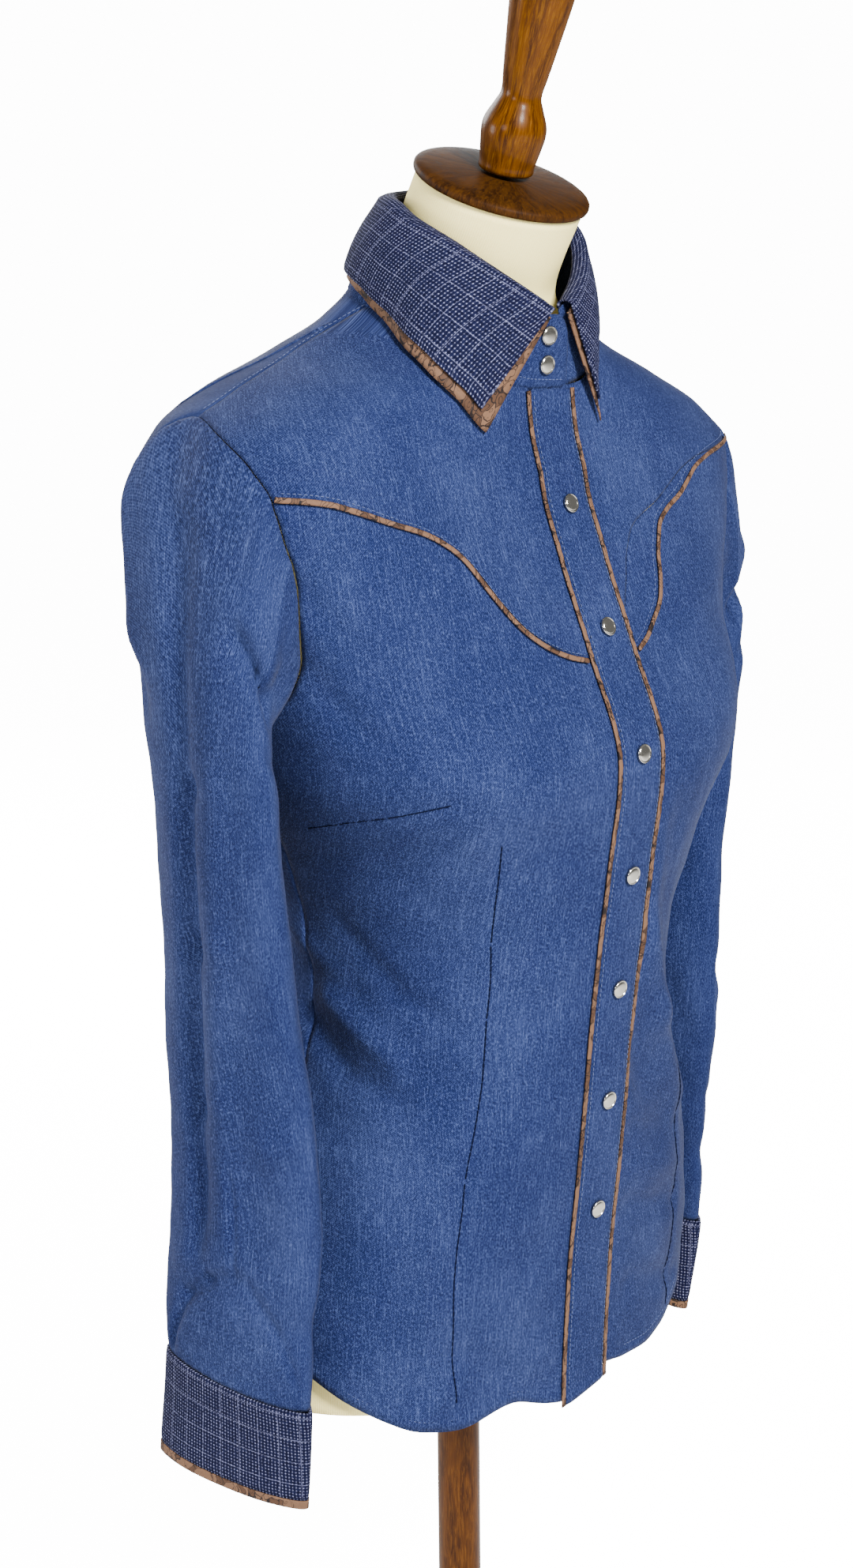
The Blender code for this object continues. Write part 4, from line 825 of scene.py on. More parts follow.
def denim(n):
    """Slubs and streaks of the warp, flecks of the white weft and the twill's diagonal."""
    uv = n.cloth()
    slub = n.noise(n.scaled(uv, 1150, 110), detail=3, rough=0.6)
    streak = n.noise(n.scaled(uv, 760, 26), detail=3, rough=0.6)
    fleck = n.noise(n.scaled(uv, 1350, 640, turn=0.2), detail=2, rough=0.8)
    cloud = n.noise(n.scaled(uv, 16, 10), detail=3)
    twill = n.add("ShaderNodeTexWave", {"Vector": n.scaled(uv, 1000, 1000, turn=0.95), "Scale": 0.33,
                                        "Distortion": 1.2, "Detail": 1.0}, wave_type="BANDS").outputs[1]
    pale = n.plus(n.span(slub, 0.46, 0.72, 0, 0.26), n.span(streak, 0.48, 0.72, 0, 0.16),
                  n.span(fleck, 0.48, 0.7, 0, 0.5), n.span(twill, 0.3, 0.9, -0.06, 0.08),
                  n.span(cloud, 0.35, 0.7, -0.07, 0.07), clamp=True)
    colour = n.mix(n.span(fleck, 0.3, 0.56), DENIM_DARK, DENIM_MID)
    height = n.plus(n.times(twill, 0.5), fleck)
    return n.finish(n.mix(pale, colour, DENIM_PALE), 0.92, height, 0.45, 0.00022,
                    Specular_IOR_Level=0.08, Sheen_Weight=0.02, Sheen_Roughness=0.45)


def tweed(n):
    """A navy basket weave with pale crossings under a faint pale windowpane."""
    uv = n.cloth()
    across, up = n.parts(n.wavering(uv, 260, 0.0007))[:2]
    patchy = n.noise(n.scaled(uv, 620, 620), detail=2, rough=0.6)
    worn_thread = n.noise(n.scaled(uv, 90, 70), detail=2)
    warp, weft = [n.span(n.math("COSINE", n.times(along, 2 * math.pi / BASKET)), low, 0.75)
                  for along, low in ((across, 0.15), (up, 0.2))]
    weave = n.plus(n.times(warp, 0.045), n.times(weft, 0.02), n.times(n.times(warp, weft), 0.56))
    dots = n.times(weave, n.span(patchy, 0.34, 0.62, 0.35, 1.15),
                   n.span(worn_thread, 0.3, 0.7, 0.75, 1.05))

    def pane(along, period, offset):
        share = n.math("FRACT", n.plus(n.math("DIVIDE", along, period), offset))
        middle = n.math("ABSOLUTE", n.math("SUBTRACT", share, 0.5))
        line = n.span(middle, 0.0, PANE_WIDE / period, 1, 0)
        return n.times(line, n.span(patchy, 0.36, 0.6, 0.2, 1))

    lines = n.math("MAXIMUM", pane(across, PANE_ACROSS, 0.1), pane(up, PANE_UP, 0.3))
    pale = n.math("MAXIMUM", dots, n.times(lines, 0.46), clamp=True)
    ground = n.mix(n.span(patchy, 0.35, 0.65), TWEED_NAVY, TWEED_BLUE)
    return n.finish(n.mix(pale, ground, TWEED_PALE), 0.92, weave, 0.6, 0.0003, Specular_IOR_Level=0.08)


def paisley(n):
    """Small ringed motifs in dark line on tan and brown."""
    uv = n.cloth()
    motifs = {"Vector": n.scaled(n.wavering(uv, 190, 0.006, detail=1.0), *MOTIFS), "Scale": 1.0,
              "Randomness": 0.9}
    cells = n.add("ShaderNodeTexVoronoi", motifs)
    edge = n.add("ShaderNodeTexVoronoi", motifs, feature="DISTANCE_TO_EDGE").outputs[0]
    rings = n.math("ABSOLUTE", n.math("SINE", n.times(cells.outputs[0], MOTIF_RINGS)))
    ink = n.math("MAXIMUM", n.span(rings, 0.1, 0.36, 1, 0), n.span(edge, 0.02, 0.07, 1, 0))
    which = n.add("ShaderNodeSeparateColor", {0: cells.outputs[1]}).outputs[0]
    ink = n.times(ink, n.plus(n.times(n.span(which, 0.34, 0.42), 0.85), 0.12), clamp=True)
    ground = n.mix(n.span(which, 0.62, 0.7, 0, 0.75), PAISLEY_TAN, PAISLEY_BROWN)
    ground = n.mix(n.span(n.noise(n.scaled(uv, 1500, 1500)), 0.3, 0.7, 0, 0.18), ground, PAISLEY_BROWN)
    bump = n.noise(n.scaled(uv, 1800, 1800))
    return n.finish(n.mix(ink, ground, PAISLEY_INK), 0.7, bump, 0.25, 0.0001, Specular_IOR_Level=0.15)


def nickel(n):
    """Polished metal with faint wear."""
    wear = n.noise(n.scaled(n.cloth(), 1400, 260), detail=3)
    return n.finish(NICKEL, n.span(wear, 0.35, 0.7, 0.1, 0.22), wear, 0.04, 0.0001, Metallic=1.0)


def jersey(n):
    """Fine ribs with a slightly uneven tone."""
    uv = n.cloth()
    rib = n.math("SINE", n.times(n.parts(uv)[0], 2 * math.pi / RIB))
    rib = n.plus(n.times(rib, 0.5), 0.5)
    loops = n.noise(n.scaled(uv, 1500, 900), detail=2)
    tone = n.plus(n.times(rib, 0.5), n.span(loops, 0.3, 0.7, 0, 0.5), clamp=True)
    stain = n.noise(n.scaled(uv, 22, 16), detail=3)
    colour = n.mix(tone, JERSEY_DEEP, JERSEY_PALE)
    colour = n.mix(n.span(stain, 0.45, 0.75, 0, 0.25), colour, JERSEY_DEEP)
    return n.finish(colour, 0.85, n.plus(rib, loops), 0.5, 0.00018, Specular_IOR_Level=0.15)


def wood(n, dark, mid, pale, along, coat, rough):
    """Varnished wood with broad bands, grain and pores."""
    uv = n.cloth()
    grain = n.noise(n.scaled(uv, 900, 900 / along), detail=5, rough=0.65, warp=0.6)
    bands = n.noise(n.scaled(uv, 130, 130 / along), detail=3, warp=1.2)
    pores = n.noise(n.scaled(uv, 2600, 2600 / (4 * along)), detail=1)
    colour = n.mix(n.span(bands, 0.32, 0.66), dark, mid)
    colour = n.mix(n.span(grain, 0.42, 0.7, 0, 0.65), colour, pale)
    colour = n.mix(n.span(pores, 0.6, 0.72, 0, 0.5), colour, dark)
    return n.finish(colour, n.span(grain, 0.3, 0.7, rough, rough + 0.14), grain, 0.12, 0.0002,
                    Coat_Weight=coat, Coat_Roughness=0.14, Specular_IOR_Level=0.05)


# Sewing thread, and also the painted shade drawn along each dart as the shadow of its fold.
def thread_and_dart_shadow(n, deep, light, rough, gloss):
    tone = n.noise(n.add("ShaderNodeTexCoord").outputs["Object"], scale=260.0)
    return n.finish(n.mix(tone, deep, light), rough, Specular_IOR_Level=gloss)


RECIPES = {"denim": (denim,), "tweed": (tweed,), "paisley": (paisley,), "nickel": (nickel,),
           "jersey": (jersey,), **{name: (wood, *values) for name, values in WOODS.items()},
           **{name: (thread_and_dart_shadow, *values) for name, values in THREADS.items()}}
MADE, DECLARED = {}, {}


def material(name):
    """The named finish, made when it is first asked for."""
    if name not in MADE:
        recipe, *values = RECIPES[name]
        MADE[name] = recipe(Nodes(name), *values)
    return MADE[name]


# ---------------------------------------------------------------- fronts, yokes and back
def armhole_edge(side, low, high):
    """(bearing, height) along the armhole between two clock angles, at the sleeve's columns."""
    clocks = [clock + turn for turn in (0.0, 360.0) for clock in SLEEVE_CLOCK]
    clock = np.array([at for at in clocks if min(low, high) <= at <= max(low, high)])
    clock = np.sort(clock)[::1 if high >= low else -1] % 360.0
    return np.stack([SIDES[side] * np.radians(column(ARMHOLE, "clock", clock, "bearing")),
                     column(ARMHOLE, "clock", clock, "height")], -1)


def yoke_seam(side, inner, columns, above=0.0):
    """(bearing, height) of the front yoke seam, `inner` metres out to the armhole.

    `above` moves it across itself, towards the shoulder.
    """
    data = YOKE_SEAM[side]
    spread = by_length(np.stack([data["out"], SEAM_EVEN * data["height"]], -1), columns)
    spread[:, 1] = smooth(spread[:, 0], data["out"], data["height"])
    near, far = data["out"][0], data["out"][-1]
    spread[:, 0] = inner + (spread[:, 0] - near) * (far - inner) / (far - near)
    run = unit(np.gradient(spread, axis=0))
    out, height = spread[:, 0] - above * run[:, 1], spread[:, 1] + above * run[:, 0]
    seam = np.stack([SIDES[side] * bearing_of(out, height), height], -1)
    end = armhole_edge(side, YOKE_CLOCK, YOKE_CLOCK)[0] + (0, above)
    return seam + (end - seam[-1]) * (np.linspace(0, 1, columns) ** 4)[:, None]


def side_seam(bearing):
    """(bearing, height) up a side seam to the underarm."""
    return np.stack([np.full(len(SIDE_ROWS), bearing), SIDE_ROWS], -1)


def hem_height(side, bearing):
    return column(HEM[side], "bearing", np.degrees(np.abs(bearing)), "height")


def front_panel(side, inner):
    """The front below the yoke, from `inner` metres out to the side seam."""
    sign = SIDES[side]
    arm = armhole_edge(side, 270, 360 + YOKE_CLOCK)
    start = float(hem_height(side, bearing_of(abs(inner), 0.0)))
    seam = yoke_seam(side, inner, PANEL_COLUMNS, -SEAM_DROP)
    edge_z = finer([start, *FRONT_ROWS, seam[0, 1]])
    inner_edge = np.stack([sign * bearing_of(inner, edge_z), edge_z], -1)
    outer_edge = np.concatenate([side_seam(sign * (math.pi / 2 - SIDE_GAP)), arm[1:]])
    outer_edge[-1] = seam[-1]
    bearing = np.linspace(inner_edge[0, 0], outer_edge[0, 0], PANEL_COLUMNS)
    hem = np.stack([bearing, hem_height(side, bearing)], -1)
    hem[0], hem[-1] = inner_edge[0], outer_edge[0]
    return coons(hem, seam, inner_edge, outer_edge)


def neck_height(bearing):
    return column(NECKLINE, "bearing", np.degrees(np.abs(bearing)), "height")


def neckline(low, high, count):
    """(bearing, height) along the neckline between two bearings, evenly spaced."""
    bearing = np.linspace(low, high, 8 * count)
    length = distances(torso(bearing, neck_height(bearing)))
    bearing = np.interp(np.linspace(0, length[-1], count), length, bearing)
    return np.stack([bearing, neck_height(bearing)], -1)


def shoulder_seam(side, shift):
    """(bearing, height) from the neck to the armhole, `shift` towards the front or back."""
    share = np.linspace(0, 1, SHOULDER_COLUMNS)
    bearing = np.radians(column(SHOULDER_SEAM, "share", share, "bearing")) + shift
    return np.stack([SIDES[side] * bearing, column(SHOULDER_SEAM, "share", share, "height")], -1)


def front_yoke(side, inner):
    """The yoke from `inner` metres out to the armhole and up to the neck and shoulder."""
    sign = SIDES[side]
    seam = yoke_seam(side, inner, PANEL_COLUMNS, SEAM_DROP)
    start = sign * float(bearing_of(inner, NECK_FRONT))
    shoulder = shoulder_seam(side, -SHOULDER_GAP)
    neck = neckline(start, shoulder[0, 0], PANEL_COLUMNS - SHOULDER_COLUMNS + 1)
    top = np.concatenate([neck[:-1], shoulder])
    edge_z = finer([seam[0, 1], *YOKE_ROWS, top[0, 1]])
    inner_edge = np.stack([sign * bearing_of(inner, edge_z), edge_z], -1)
    inner_edge[-1] = top[0]
    outer_edge = armhole_edge(side, YOKE_CLOCK, 90)
    outer_edge[0], outer_edge[-1] = seam[-1], top[-1]
    return coons(seam, top, inner_edge, outer_edge)


def behind(path):
    """A left-hand path of (bearing, height) mirrored to the right, its bearings past 180."""
    mirrored = path.copy()
    mirrored[:, 0] = 2 * math.pi - path[:, 0]
    return mirrored


def back_height(data, bearing):
    """Height of a line that is the same on both halves of the back."""
    fold = np.degrees(np.minimum(bearing, 2 * math.pi - bearing))
    return column(data, "bearing", fold, "height")


def back_yoke_seam(shift):
    """(bearing, height) of the back yoke seam, `shift` metres up."""
    ends = math.radians(float(column(ARMHOLE, "clock", BACK_YOKE_CLOCK, "bearing")))
    bearing = np.linspace(ends, 2 * math.pi - ends, BACK_COLUMNS)
    return np.stack([bearing, back_height(BACK_YOKE_SEAM, bearing) + shift], -1)


def back_panel():
    arm = armhole_edge("left", 270, BACK_YOKE_CLOCK)
    left = np.concatenate([side_seam(math.pi / 2 + SIDE_GAP), arm[1:]])
    right = behind(left)
    seam = back_yoke_seam(-SEAM_DROP)
    left[-1], right[-1] = seam[0], seam[-1]
    bearing = np.linspace(left[0, 0], right[0, 0], BACK_COLUMNS)
    hem = np.stack([bearing, back_height(BACK_HEM, bearing)], -1)
    return coons(hem, seam, left, right)


def back_yoke():
    seam = back_yoke_seam(SEAM_DROP)
    shoulder = shoulder_seam("left", SHOULDER_GAP)[::-1]
    neck = neckline(shoulder[-1, 0], math.pi, BACK_COLUMNS // 2 + 2 - SHOULDER_COLUMNS)
    half = np.concatenate([shoulder[:-1], neck])
    top = np.concatenate([half, behind(half)[::-1][1:]])
    left = armhole_edge("left", BACK_YOKE_CLOCK, 90)
    left[0], left[-1] = seam[0], top[0]
    return coons(seam, top, left, behind(left))


# Where the yoke seams start: beyond the placket, its piping and half of their own.
PIPING_START = PLACKET_HALF + SEAM + PIPING_WIDTH + SEAM + PIPING_WIDTH / 2


# ---------------------------------------------------------------- sleeves and cuffs
def sleeve_ring(side, height, clock, grow=0.0):
    """Points of the sleeve's section at a height; clock 0 is the front, 90 the outside."""
    height, clock = np.broadcast_arrays(np.asarray(height, float), np.asarray(clock, float))
    out, along, width, depth, turn = [
        column(SLEEVE, "height", height, name) for name in ("out", "along", "width", "depth", "turn")]
    if side == "left":
        along = along + column(LEFT_SLEEVE_BACK, "height", height, "shift")
    turn = np.radians(turn)
    forward = (width + grow) * np.cos(clock)
    aside = (depth + grow) * np.sin(clock)
    x = out + aside * np.cos(turn) + forward * np.sin(turn)
    y = along - forward * np.cos(turn) + aside * np.sin(turn)
    slope = CUFF_SLOPE * (1 - ease(height, CUFF_TOP, LEVEL_ABOVE))
    return np.stack([SIDES[side] * x, y, height + slope * (y - along)], -1)


def sleeve_cap(side, clock, share):
    """The loft from the armhole out over the shoulder and down to the first level ring."""
    sign = SIDES[side]
    degrees = np.degrees(clock) % 360.0
    bearing = np.radians(column(ARMHOLE, "clock", degrees, "bearing"))
    start = worn(sign * bearing, column(ARMHOLE, "clock", degrees, "height"))
    # It leaves the armhole steeply under the arm, and further out and down over the shoulder.
    drop = 0.3 + 1.3 * np.exp(-((degrees - 270) / 38.0) ** 2) - 0.25 * np.cos(clock) ** 2
    leave = unit(np.stack([sign + 0 * drop, 0.1 * -np.cos(clock) * np.abs(np.cos(clock)), -drop], -1))
    end = sleeve_ring(side, CAP_END, clock)
    arrive = unit(sleeve_ring(side, CAP_END - 0.01, clock) - end)
    reach = np.linalg.norm(end - start, axis=-1, keepdims=True)
    top = np.exp(-((degrees - 90) / 55.0) ** 2)[..., None]
    pull_out = reach * (0.2 + 0.22 * top)
    pull_down = reach * (0.75 + 0.25 * top)
    start = start + ARMHOLE_GAP * leave
    t = np.asarray(share)[..., None]
    return (start * (1 + 2 * t) * (1 - t) ** 2 + leave * pull_out * t * (1 - t) ** 2
            + end * t * t * (3 - 2 * t) - arrive * pull_down * t * t * (1 - t))


# ---------------------------------------------------------------- collar
def fold_line(angle, out=0.0):
    """The collar's fold, moved out sideways; angle 0 is the centre front."""
    x, y = superellipse(angle, FOLD_HALF + out, FOLD_CENTRE - FOLD_FRONT + out,
                        FOLD_BACK - FOLD_CENTRE + out, FOLD_CENTRE, FOLD_ROUND_FRONT, FOLD_ROUND_BACK)
    half_turn = np.degrees(np.arccos(np.cos(angle)))
    return np.stack([x, y, column(FOLD_LINE, "angle", half_turn, "height")], -1)


def leaf_edge(side, share, level):
    """A leaf's lower edge, `level` off the shoulders."""
    bearing = SIDES[side] * np.radians(column(LEAF_EDGE, "share", share, side))
    return torso(bearing, column(LEAF_EDGE, "share", share, "height"), level)


def half_leaf(side, start, downs, out, level):
    """Rows of one half of a leaf, from the centre back to its front edge, fold to edge.

    `start` gives the shares of the fold and of the edge where it begins, `out` its
    height off the fold line and `level` its height off the shoulder.
    """
    share = np.linspace(1.0, 0.0, LEAF_COLUMNS)
    fold_share, edge_share = [np.maximum(share, first) for first in start]
    angle = SIDES[side] * np.radians(LEAF_START[side] + (180.0 - LEAF_START[side]) * fold_share)
    top = fold_line(angle, out)
    bottom = leaf_edge(side, edge_share, level)
    rows = []
    for down in downs:
        point = top + (bottom - top) * down
        bow = LEAF_BOW * math.sin(math.pi * down) * ease(edge_share, 0.0, 0.3)
        point[:, 0] += bow * np.sin(angle)
        point[:, 1] -= bow * np.cos(angle)
        rows.append(point)
    return np.array(rows)


def leaf(start, downs, out, level):
    """Both halves of a leaf, from its left front edge round to its right one."""
    left = half_leaf("left", start, downs, out, level)
    right = half_leaf("right", start, downs, out, level)
    return np.concatenate([left[:, ::-1], right[:, 1:]], axis=1)


def stand_edges():
    """Lower and upper edge of the collar stand, from its left end round to its lapped tab."""
    angle = np.array(STAND_ANGLES)
    bearing = np.radians(np.where(angle < 180, angle, angle - 360))
    tuck = STAND_TUCK * (1 - ease(angle, *TUCK_ANGLES))
    bottom = torso(bearing, neck_height(bearing)) + (0, 0, STAND_RISE)
    top = fold_line(np.radians(angle), -STAND_INSIDE) - (0, 0, STAND_TOP_DROP)
    bottom[:, 1] += tuck
    top[:, 1] += tuck
    tab = np.linspace(0.0, 1.0, TAB_COLUMNS + 1)[1:] * STAND_END
    seam = torso(bearing_of(tab, NECK_FRONT), np.full(TAB_COLUMNS, NECK_FRONT)) + (0, 0, STAND_RISE)
    corner = STAND_END - np.sqrt(STAND_END ** 2 - (TAB_ROUND * tab) ** 2)
    end = np.stack([tab, top[-1, 1] + TAB_BACK * tab, top[-1, 2] - corner], -1)
    return np.concatenate([bottom, seam]), np.concatenate([top, end])


def neck_ring(angle, height, centre, half, front, back, tilt):
    """A ring of the form's neck, tilted forward by `tilt` degrees."""
    x, y = superellipse(angle, half, front, back, 0.0, 2.0, 2.0)
    slope = math.radians(tilt)
    return np.stack([x, centre + y * math.cos(slope), height + y * math.sin(slope)], -1)


def form_ring(height):
    """A ring of the form inside the cloth, flat at the sides where arms would start."""
    count = len(FORM_ANGLES)
    inset = float(column(FORM_INSET, "height", height, "inset"))
    ring = torso(FORM_ANGLES, np.full(count, height), -np.full(count, inset))
    ring[:, 0] = np.clip(ring[:, 0], -FORM_SIDE, FORM_SIDE)
    return ring


# ---------------------------------------------------------------- the shirt's pieces
PANEL_SEAMS, YOKE_SEAMS = ("left", "right", "top"), ("left", "right", "top", "bottom")
MAP_TURNS = np.radians(np.linspace(-200, 200, 201))  # bearings and heights of the cloth map
MAP_TOP, MAP_STEP, MAP_ROWS = 0.62, 0.01, 63


def grain(grid):
    """Cloth map of a body panel: metres round the figure from its centre, and up the cloth."""
    levels = np.linspace(0.0, MAP_TOP, MAP_ROWS)
    cloth = torso(*np.broadcast_arrays(MAP_TURNS[None], levels[:, None]))
    across, up = distances(cloth[..., :2], 1), distances(cloth)
    across -= across[:, len(MAP_TURNS) // 2, None]
    spot = [np.clip(grid[..., 1], 0, MAP_TOP) / MAP_STEP,
            (grid[..., 0] - MAP_TURNS[0]) / (MAP_TURNS[1] - MAP_TURNS[0])]
    i, j = [np.clip(np.floor(v).astype(int), 0, size - 2) for v, size in zip(spot, across.shape)]
    a, b = spot[0] - i, spot[1] - j
    return np.stack([(1 - a) * ((1 - b) * of[i, j] + b * of[i, j + 1])
                     + a * ((1 - b) * of[i + 1, j] + b * of[i + 1, j + 1]) for of in (across, up)], -1)


def panel(name, node, grid, seams, hem=None, flip=False):
    sheet(name, worn(grid[..., 0], grid[..., 1]), "denim", node, seams, hem, flip=flip, uv=grain(grid))


def make_body():
    for side, sign in SIDES.items():
        inner = PLACKET_HALF - OVERLAP if side == "right" else -UNDERLAP
        panel(side + "_front_cloth", side + "_front", front_panel(side, inner), PANEL_SEAMS, "bottom",
              sign < 0)
        panel(side + "_yoke_cloth", side + "_front_yoke", front_yoke(side, inner), YOKE_SEAMS,
              flip=sign < 0)
    panel("back_cloth", "back", back_panel(), PANEL_SEAMS, "bottom")
    panel("back_yoke_cloth", "back_yoke", back_yoke(), YOKE_SEAMS)


def front_strip(name, low, high, finish, thickness, columns, declare=False, sides=(), hem=None):
    """A strip down the centre front, between two distances out from it."""
    height = finer([0.0, *FRONT_ROWS, YOKE_FRONT, *YOKE_ROWS, NECK_FRONT - SEAM], PLACKET_STEPS)
    z, out = np.meshgrid(height, np.linspace(low, high, columns), indexing="ij")
    lift = 1 - np.clip(height / FRONT_ROWS[0], 0, 1)[:, None]
    z = z + PLACKET_RISE * (0.5 + out / (2 * PLACKET_HALF)) * lift
    crown = 1 - ((out - 0.5 * (low + high)) / (0.5 * (high - low))) ** 4
    level = LAY + thickness * (0.75 + 0.25 * crown)
    ripple = RIPPLE * np.sin(z * RIPPLE_TURNS + 2.0 * np.sin(z * RIPPLE_DRIFT)) * (1 - 0.6 * crown)
    sheet(name + "_cloth", worn(bearing_of(out, z), z, level + ripple), finish, name, sides, hem,
          thickness=0.9 * thickness, declare=declare, rests_on=("left_front_cloth", "right_front_cloth"))


def make_placket():
    edge = PLACKET_HALF + SEAM
    front_strip("placket", -PLACKET_HALF, PLACKET_HALF, "denim", PLACKET_THICK, 25, True,
                ("left", "right"), "bottom")
    front_strip("right_placket_piping", -edge - PIPING_WIDTH, -edge, "paisley", PIPING_THICK, 7)
    front_strip("left_placket_piping", edge, edge + PIPING_WIDTH, "paisley", PIPING_THICK, 7)


def make_yoke_pipings():
    for side, sign in SIDES.items():
        path = yoke_seam(side, PIPING_START, 200)[:-1]
        path = path if sign < 0 else path[::-1]
        centre = worn(path[:, 0], path[:, 1], YOKE_LAY + PIPING_THICK)
        normal = body_outward(path[:, 0], path[:, 1])
        aside = unit(np.cross(np.gradient(centre, axis=0), normal))
        grid = np.stack([centre + s * PIPING_WIDTH * aside - PIPING_ROUND * (2 * s) ** 4 * normal
                         for s in np.linspace(0.5, -0.5, 7)])
        sheet(side + "_yoke_piping_cloth", grid, "paisley", side + "_yoke_piping",
              thickness=PIPING_SHELL, declare=False)


def fold_sleeve(side, grid, clock):
    """Moves the sleeve in or out along its normals where the tables put a fold."""
    normal = normals(grid, closed=True)
    if np.sum(normal * (grid - grid.mean(axis=1, keepdims=True))) < 0:
        normal = -normal
    degrees, height = np.degrees(clock)[None, :], grid[..., 2]
    amount = np.zeros(grid.shape[:2])
    for at_height, at, long, wide, depth in zip(*SLEEVE_FOLDS.values()):
        turn = (degrees - at + 180) % 360 - 180
        amount += depth * np.exp(-((height - at_height) / long) ** 2 - (turn / wide) ** 2)
    turn, drop = (LEFT_TURN, LEFT_DROP) if side == "left" else (0.0, 0.0)
    amount += runs(SLEEVE_CREASES, degrees - turn, height - drop, SLEEVE_RADIUS, turns=True)
    amount += rumple(SLEEVE_SPREAD * np.sin(clock)[None, :],
                     height + SLEEVE_DRIFT * np.cos(clock)[None, :], SLEEVE_SEED[side])
    amount *= ease(edge_distance(grid, "bottom"), 0.0, FADE_BOTTOM)
    amount *= ease(edge_distance(grid, "top"), 0.0, FADE_TOP)
    return grid + amount[..., None] * normal


def cuff_rings(side, clock, heights):
    """Rings of the cuff, slightly uneven round the wrist."""
    rings = np.array([sleeve_ring(side, height, clock, CUFF_GROW) for height in heights])
    dent = sum(size * np.sin(count * clock + start) for size, count, start in CUFF_WAVES)
    return rings + dent[None, :, None] * (rings - rings.mean(axis=1, keepdims=True)) / CUFF_MEAN


def make_sleeves():
    clock = np.radians(SLEEVE_CLOCK)
    for side, sign in SIDES.items():
        rings = [sleeve_cap(side, clock, share) for share in CAP_SHARES]
        rings += [sleeve_ring(side, height, clock) for height in SLEEVE_ROWS]
        grid = fold_sleeve(side, np.array(rings), clock)
        around = np.append(clock, 2 * math.pi)[None, :].repeat(len(grid), axis=0) * SLEEVE_RADIUS
        down = edge_distance(grid, "bottom").mean(axis=1, keepdims=True).repeat(around.shape[1], axis=1)
        ring = {"closed": True, "flip": sign > 0}
        cuff = {**ring, "thickness": CUFF_THICK}
        sheet(side + "_sleeve_cloth", grid, "denim", side + "_sleeve", ("bottom", "top"),
              uv=np.stack([around, -down], -1), **ring)
        sheet(side + "_cuff_cloth", cuff_rings(side, clock, CUFF_ROWS), "tweed", side + "_cuff",
              ("bottom", "top"), rests_on=(side + "_sleeve_cloth",), **cuff)
        sheet(side + "_cuff_piping_cloth", cuff_rings(side, clock, CUFF_PIPING_ROWS), "paisley",
              side + "_cuff_piping", declare=False, **cuff)


def make_collar():
    bottom, top = stand_edges()
    shares = np.linspace(STAND_TURN_IN, 1, STAND_ROWS)
    rows = np.array([bottom + (top - bottom) * share for share in shares])
    sheet("stand_cloth", refine(rows, 1, 6), "denim", "collar_stand", ("bottom", "right"),
          rests_on=("left_yoke_cloth", "right_yoke_cloth", "back_yoke_cloth"))
    sheet("collar_under_cloth", leaf((0.0, 0.0), UNDER_DOWNS, UNDER_OUT, UNDER_LEVEL), "paisley",
          "collar_under", ("top",), flip=True, thickness=UNDER_THICK, rests_on=("stand_cloth",))
    outer = leaf(TOP_START, TOP_DOWNS, TOP_OUT, TOP_LEVEL)
    ridge = leaf(TOP_START, (0.0,), 0.5 * (TOP_OUT - TOP_INSIDE), TOP_LEVEL) + (0, 0, FOLD_RISE)
    inner = leaf(TOP_START, (0.0,), -TOP_INSIDE, TOP_LEVEL)
    grid = refine(np.concatenate([inner - (0, 0, TOP_INNER_DROP), inner, ridge, outer]), 3, 1)
    sheet("collar_top_cloth", grid, "tweed", "collar_top", ("top", "left", "right"), flip=True,
          thickness=TOP_THICK, rests_on=("collar_under_cloth",))


# ---------------------------------------------------------------- stitching
YOKE_ROW, BACK_YOKE_ROW, SHOULDER_ROW = 0.0034, 0.0022, 0.028  # stitch rows beside their seams
PLACKET_ROW, PLACKET_ENDS = 0.0016, (0.01, NECK_FRONT - 0.003)
HEM_ENDS, BACK_HEM_ENDS = (14, 88), (92, 268)  # bearings of the hem's rows
STAND_ROW, TAB_PART = 0.08, 0.8  # the row on the tab, in shares of the stand
# The dark line along each dart is painted shade for the shadow of its fold: its lift off the cloth, the
# length of its pieces and their thickness.
DART_SHADOW_LIFT, DART_SHADOW_PIECE, DART_SHADOW_THICK = 0.0003, 0.004, 0.00034


def tab_run():
    """The stitch row along the lower edge of the stand's tab."""
    rows = refine(np.array(stand_edges()), 1, 6)
    low = rows[0] + STAND_ROW * (rows[1] - rows[0])
    keep = slice(int(TAB_PART * len(low)), len(low) - 4)
    outward = normals(rows)[0]
    if np.sum(outward[keep] * (low - low.mean(axis=0))[keep]) < 0:
        outward = -outward
    return settle(low[keep]), outward[keep]


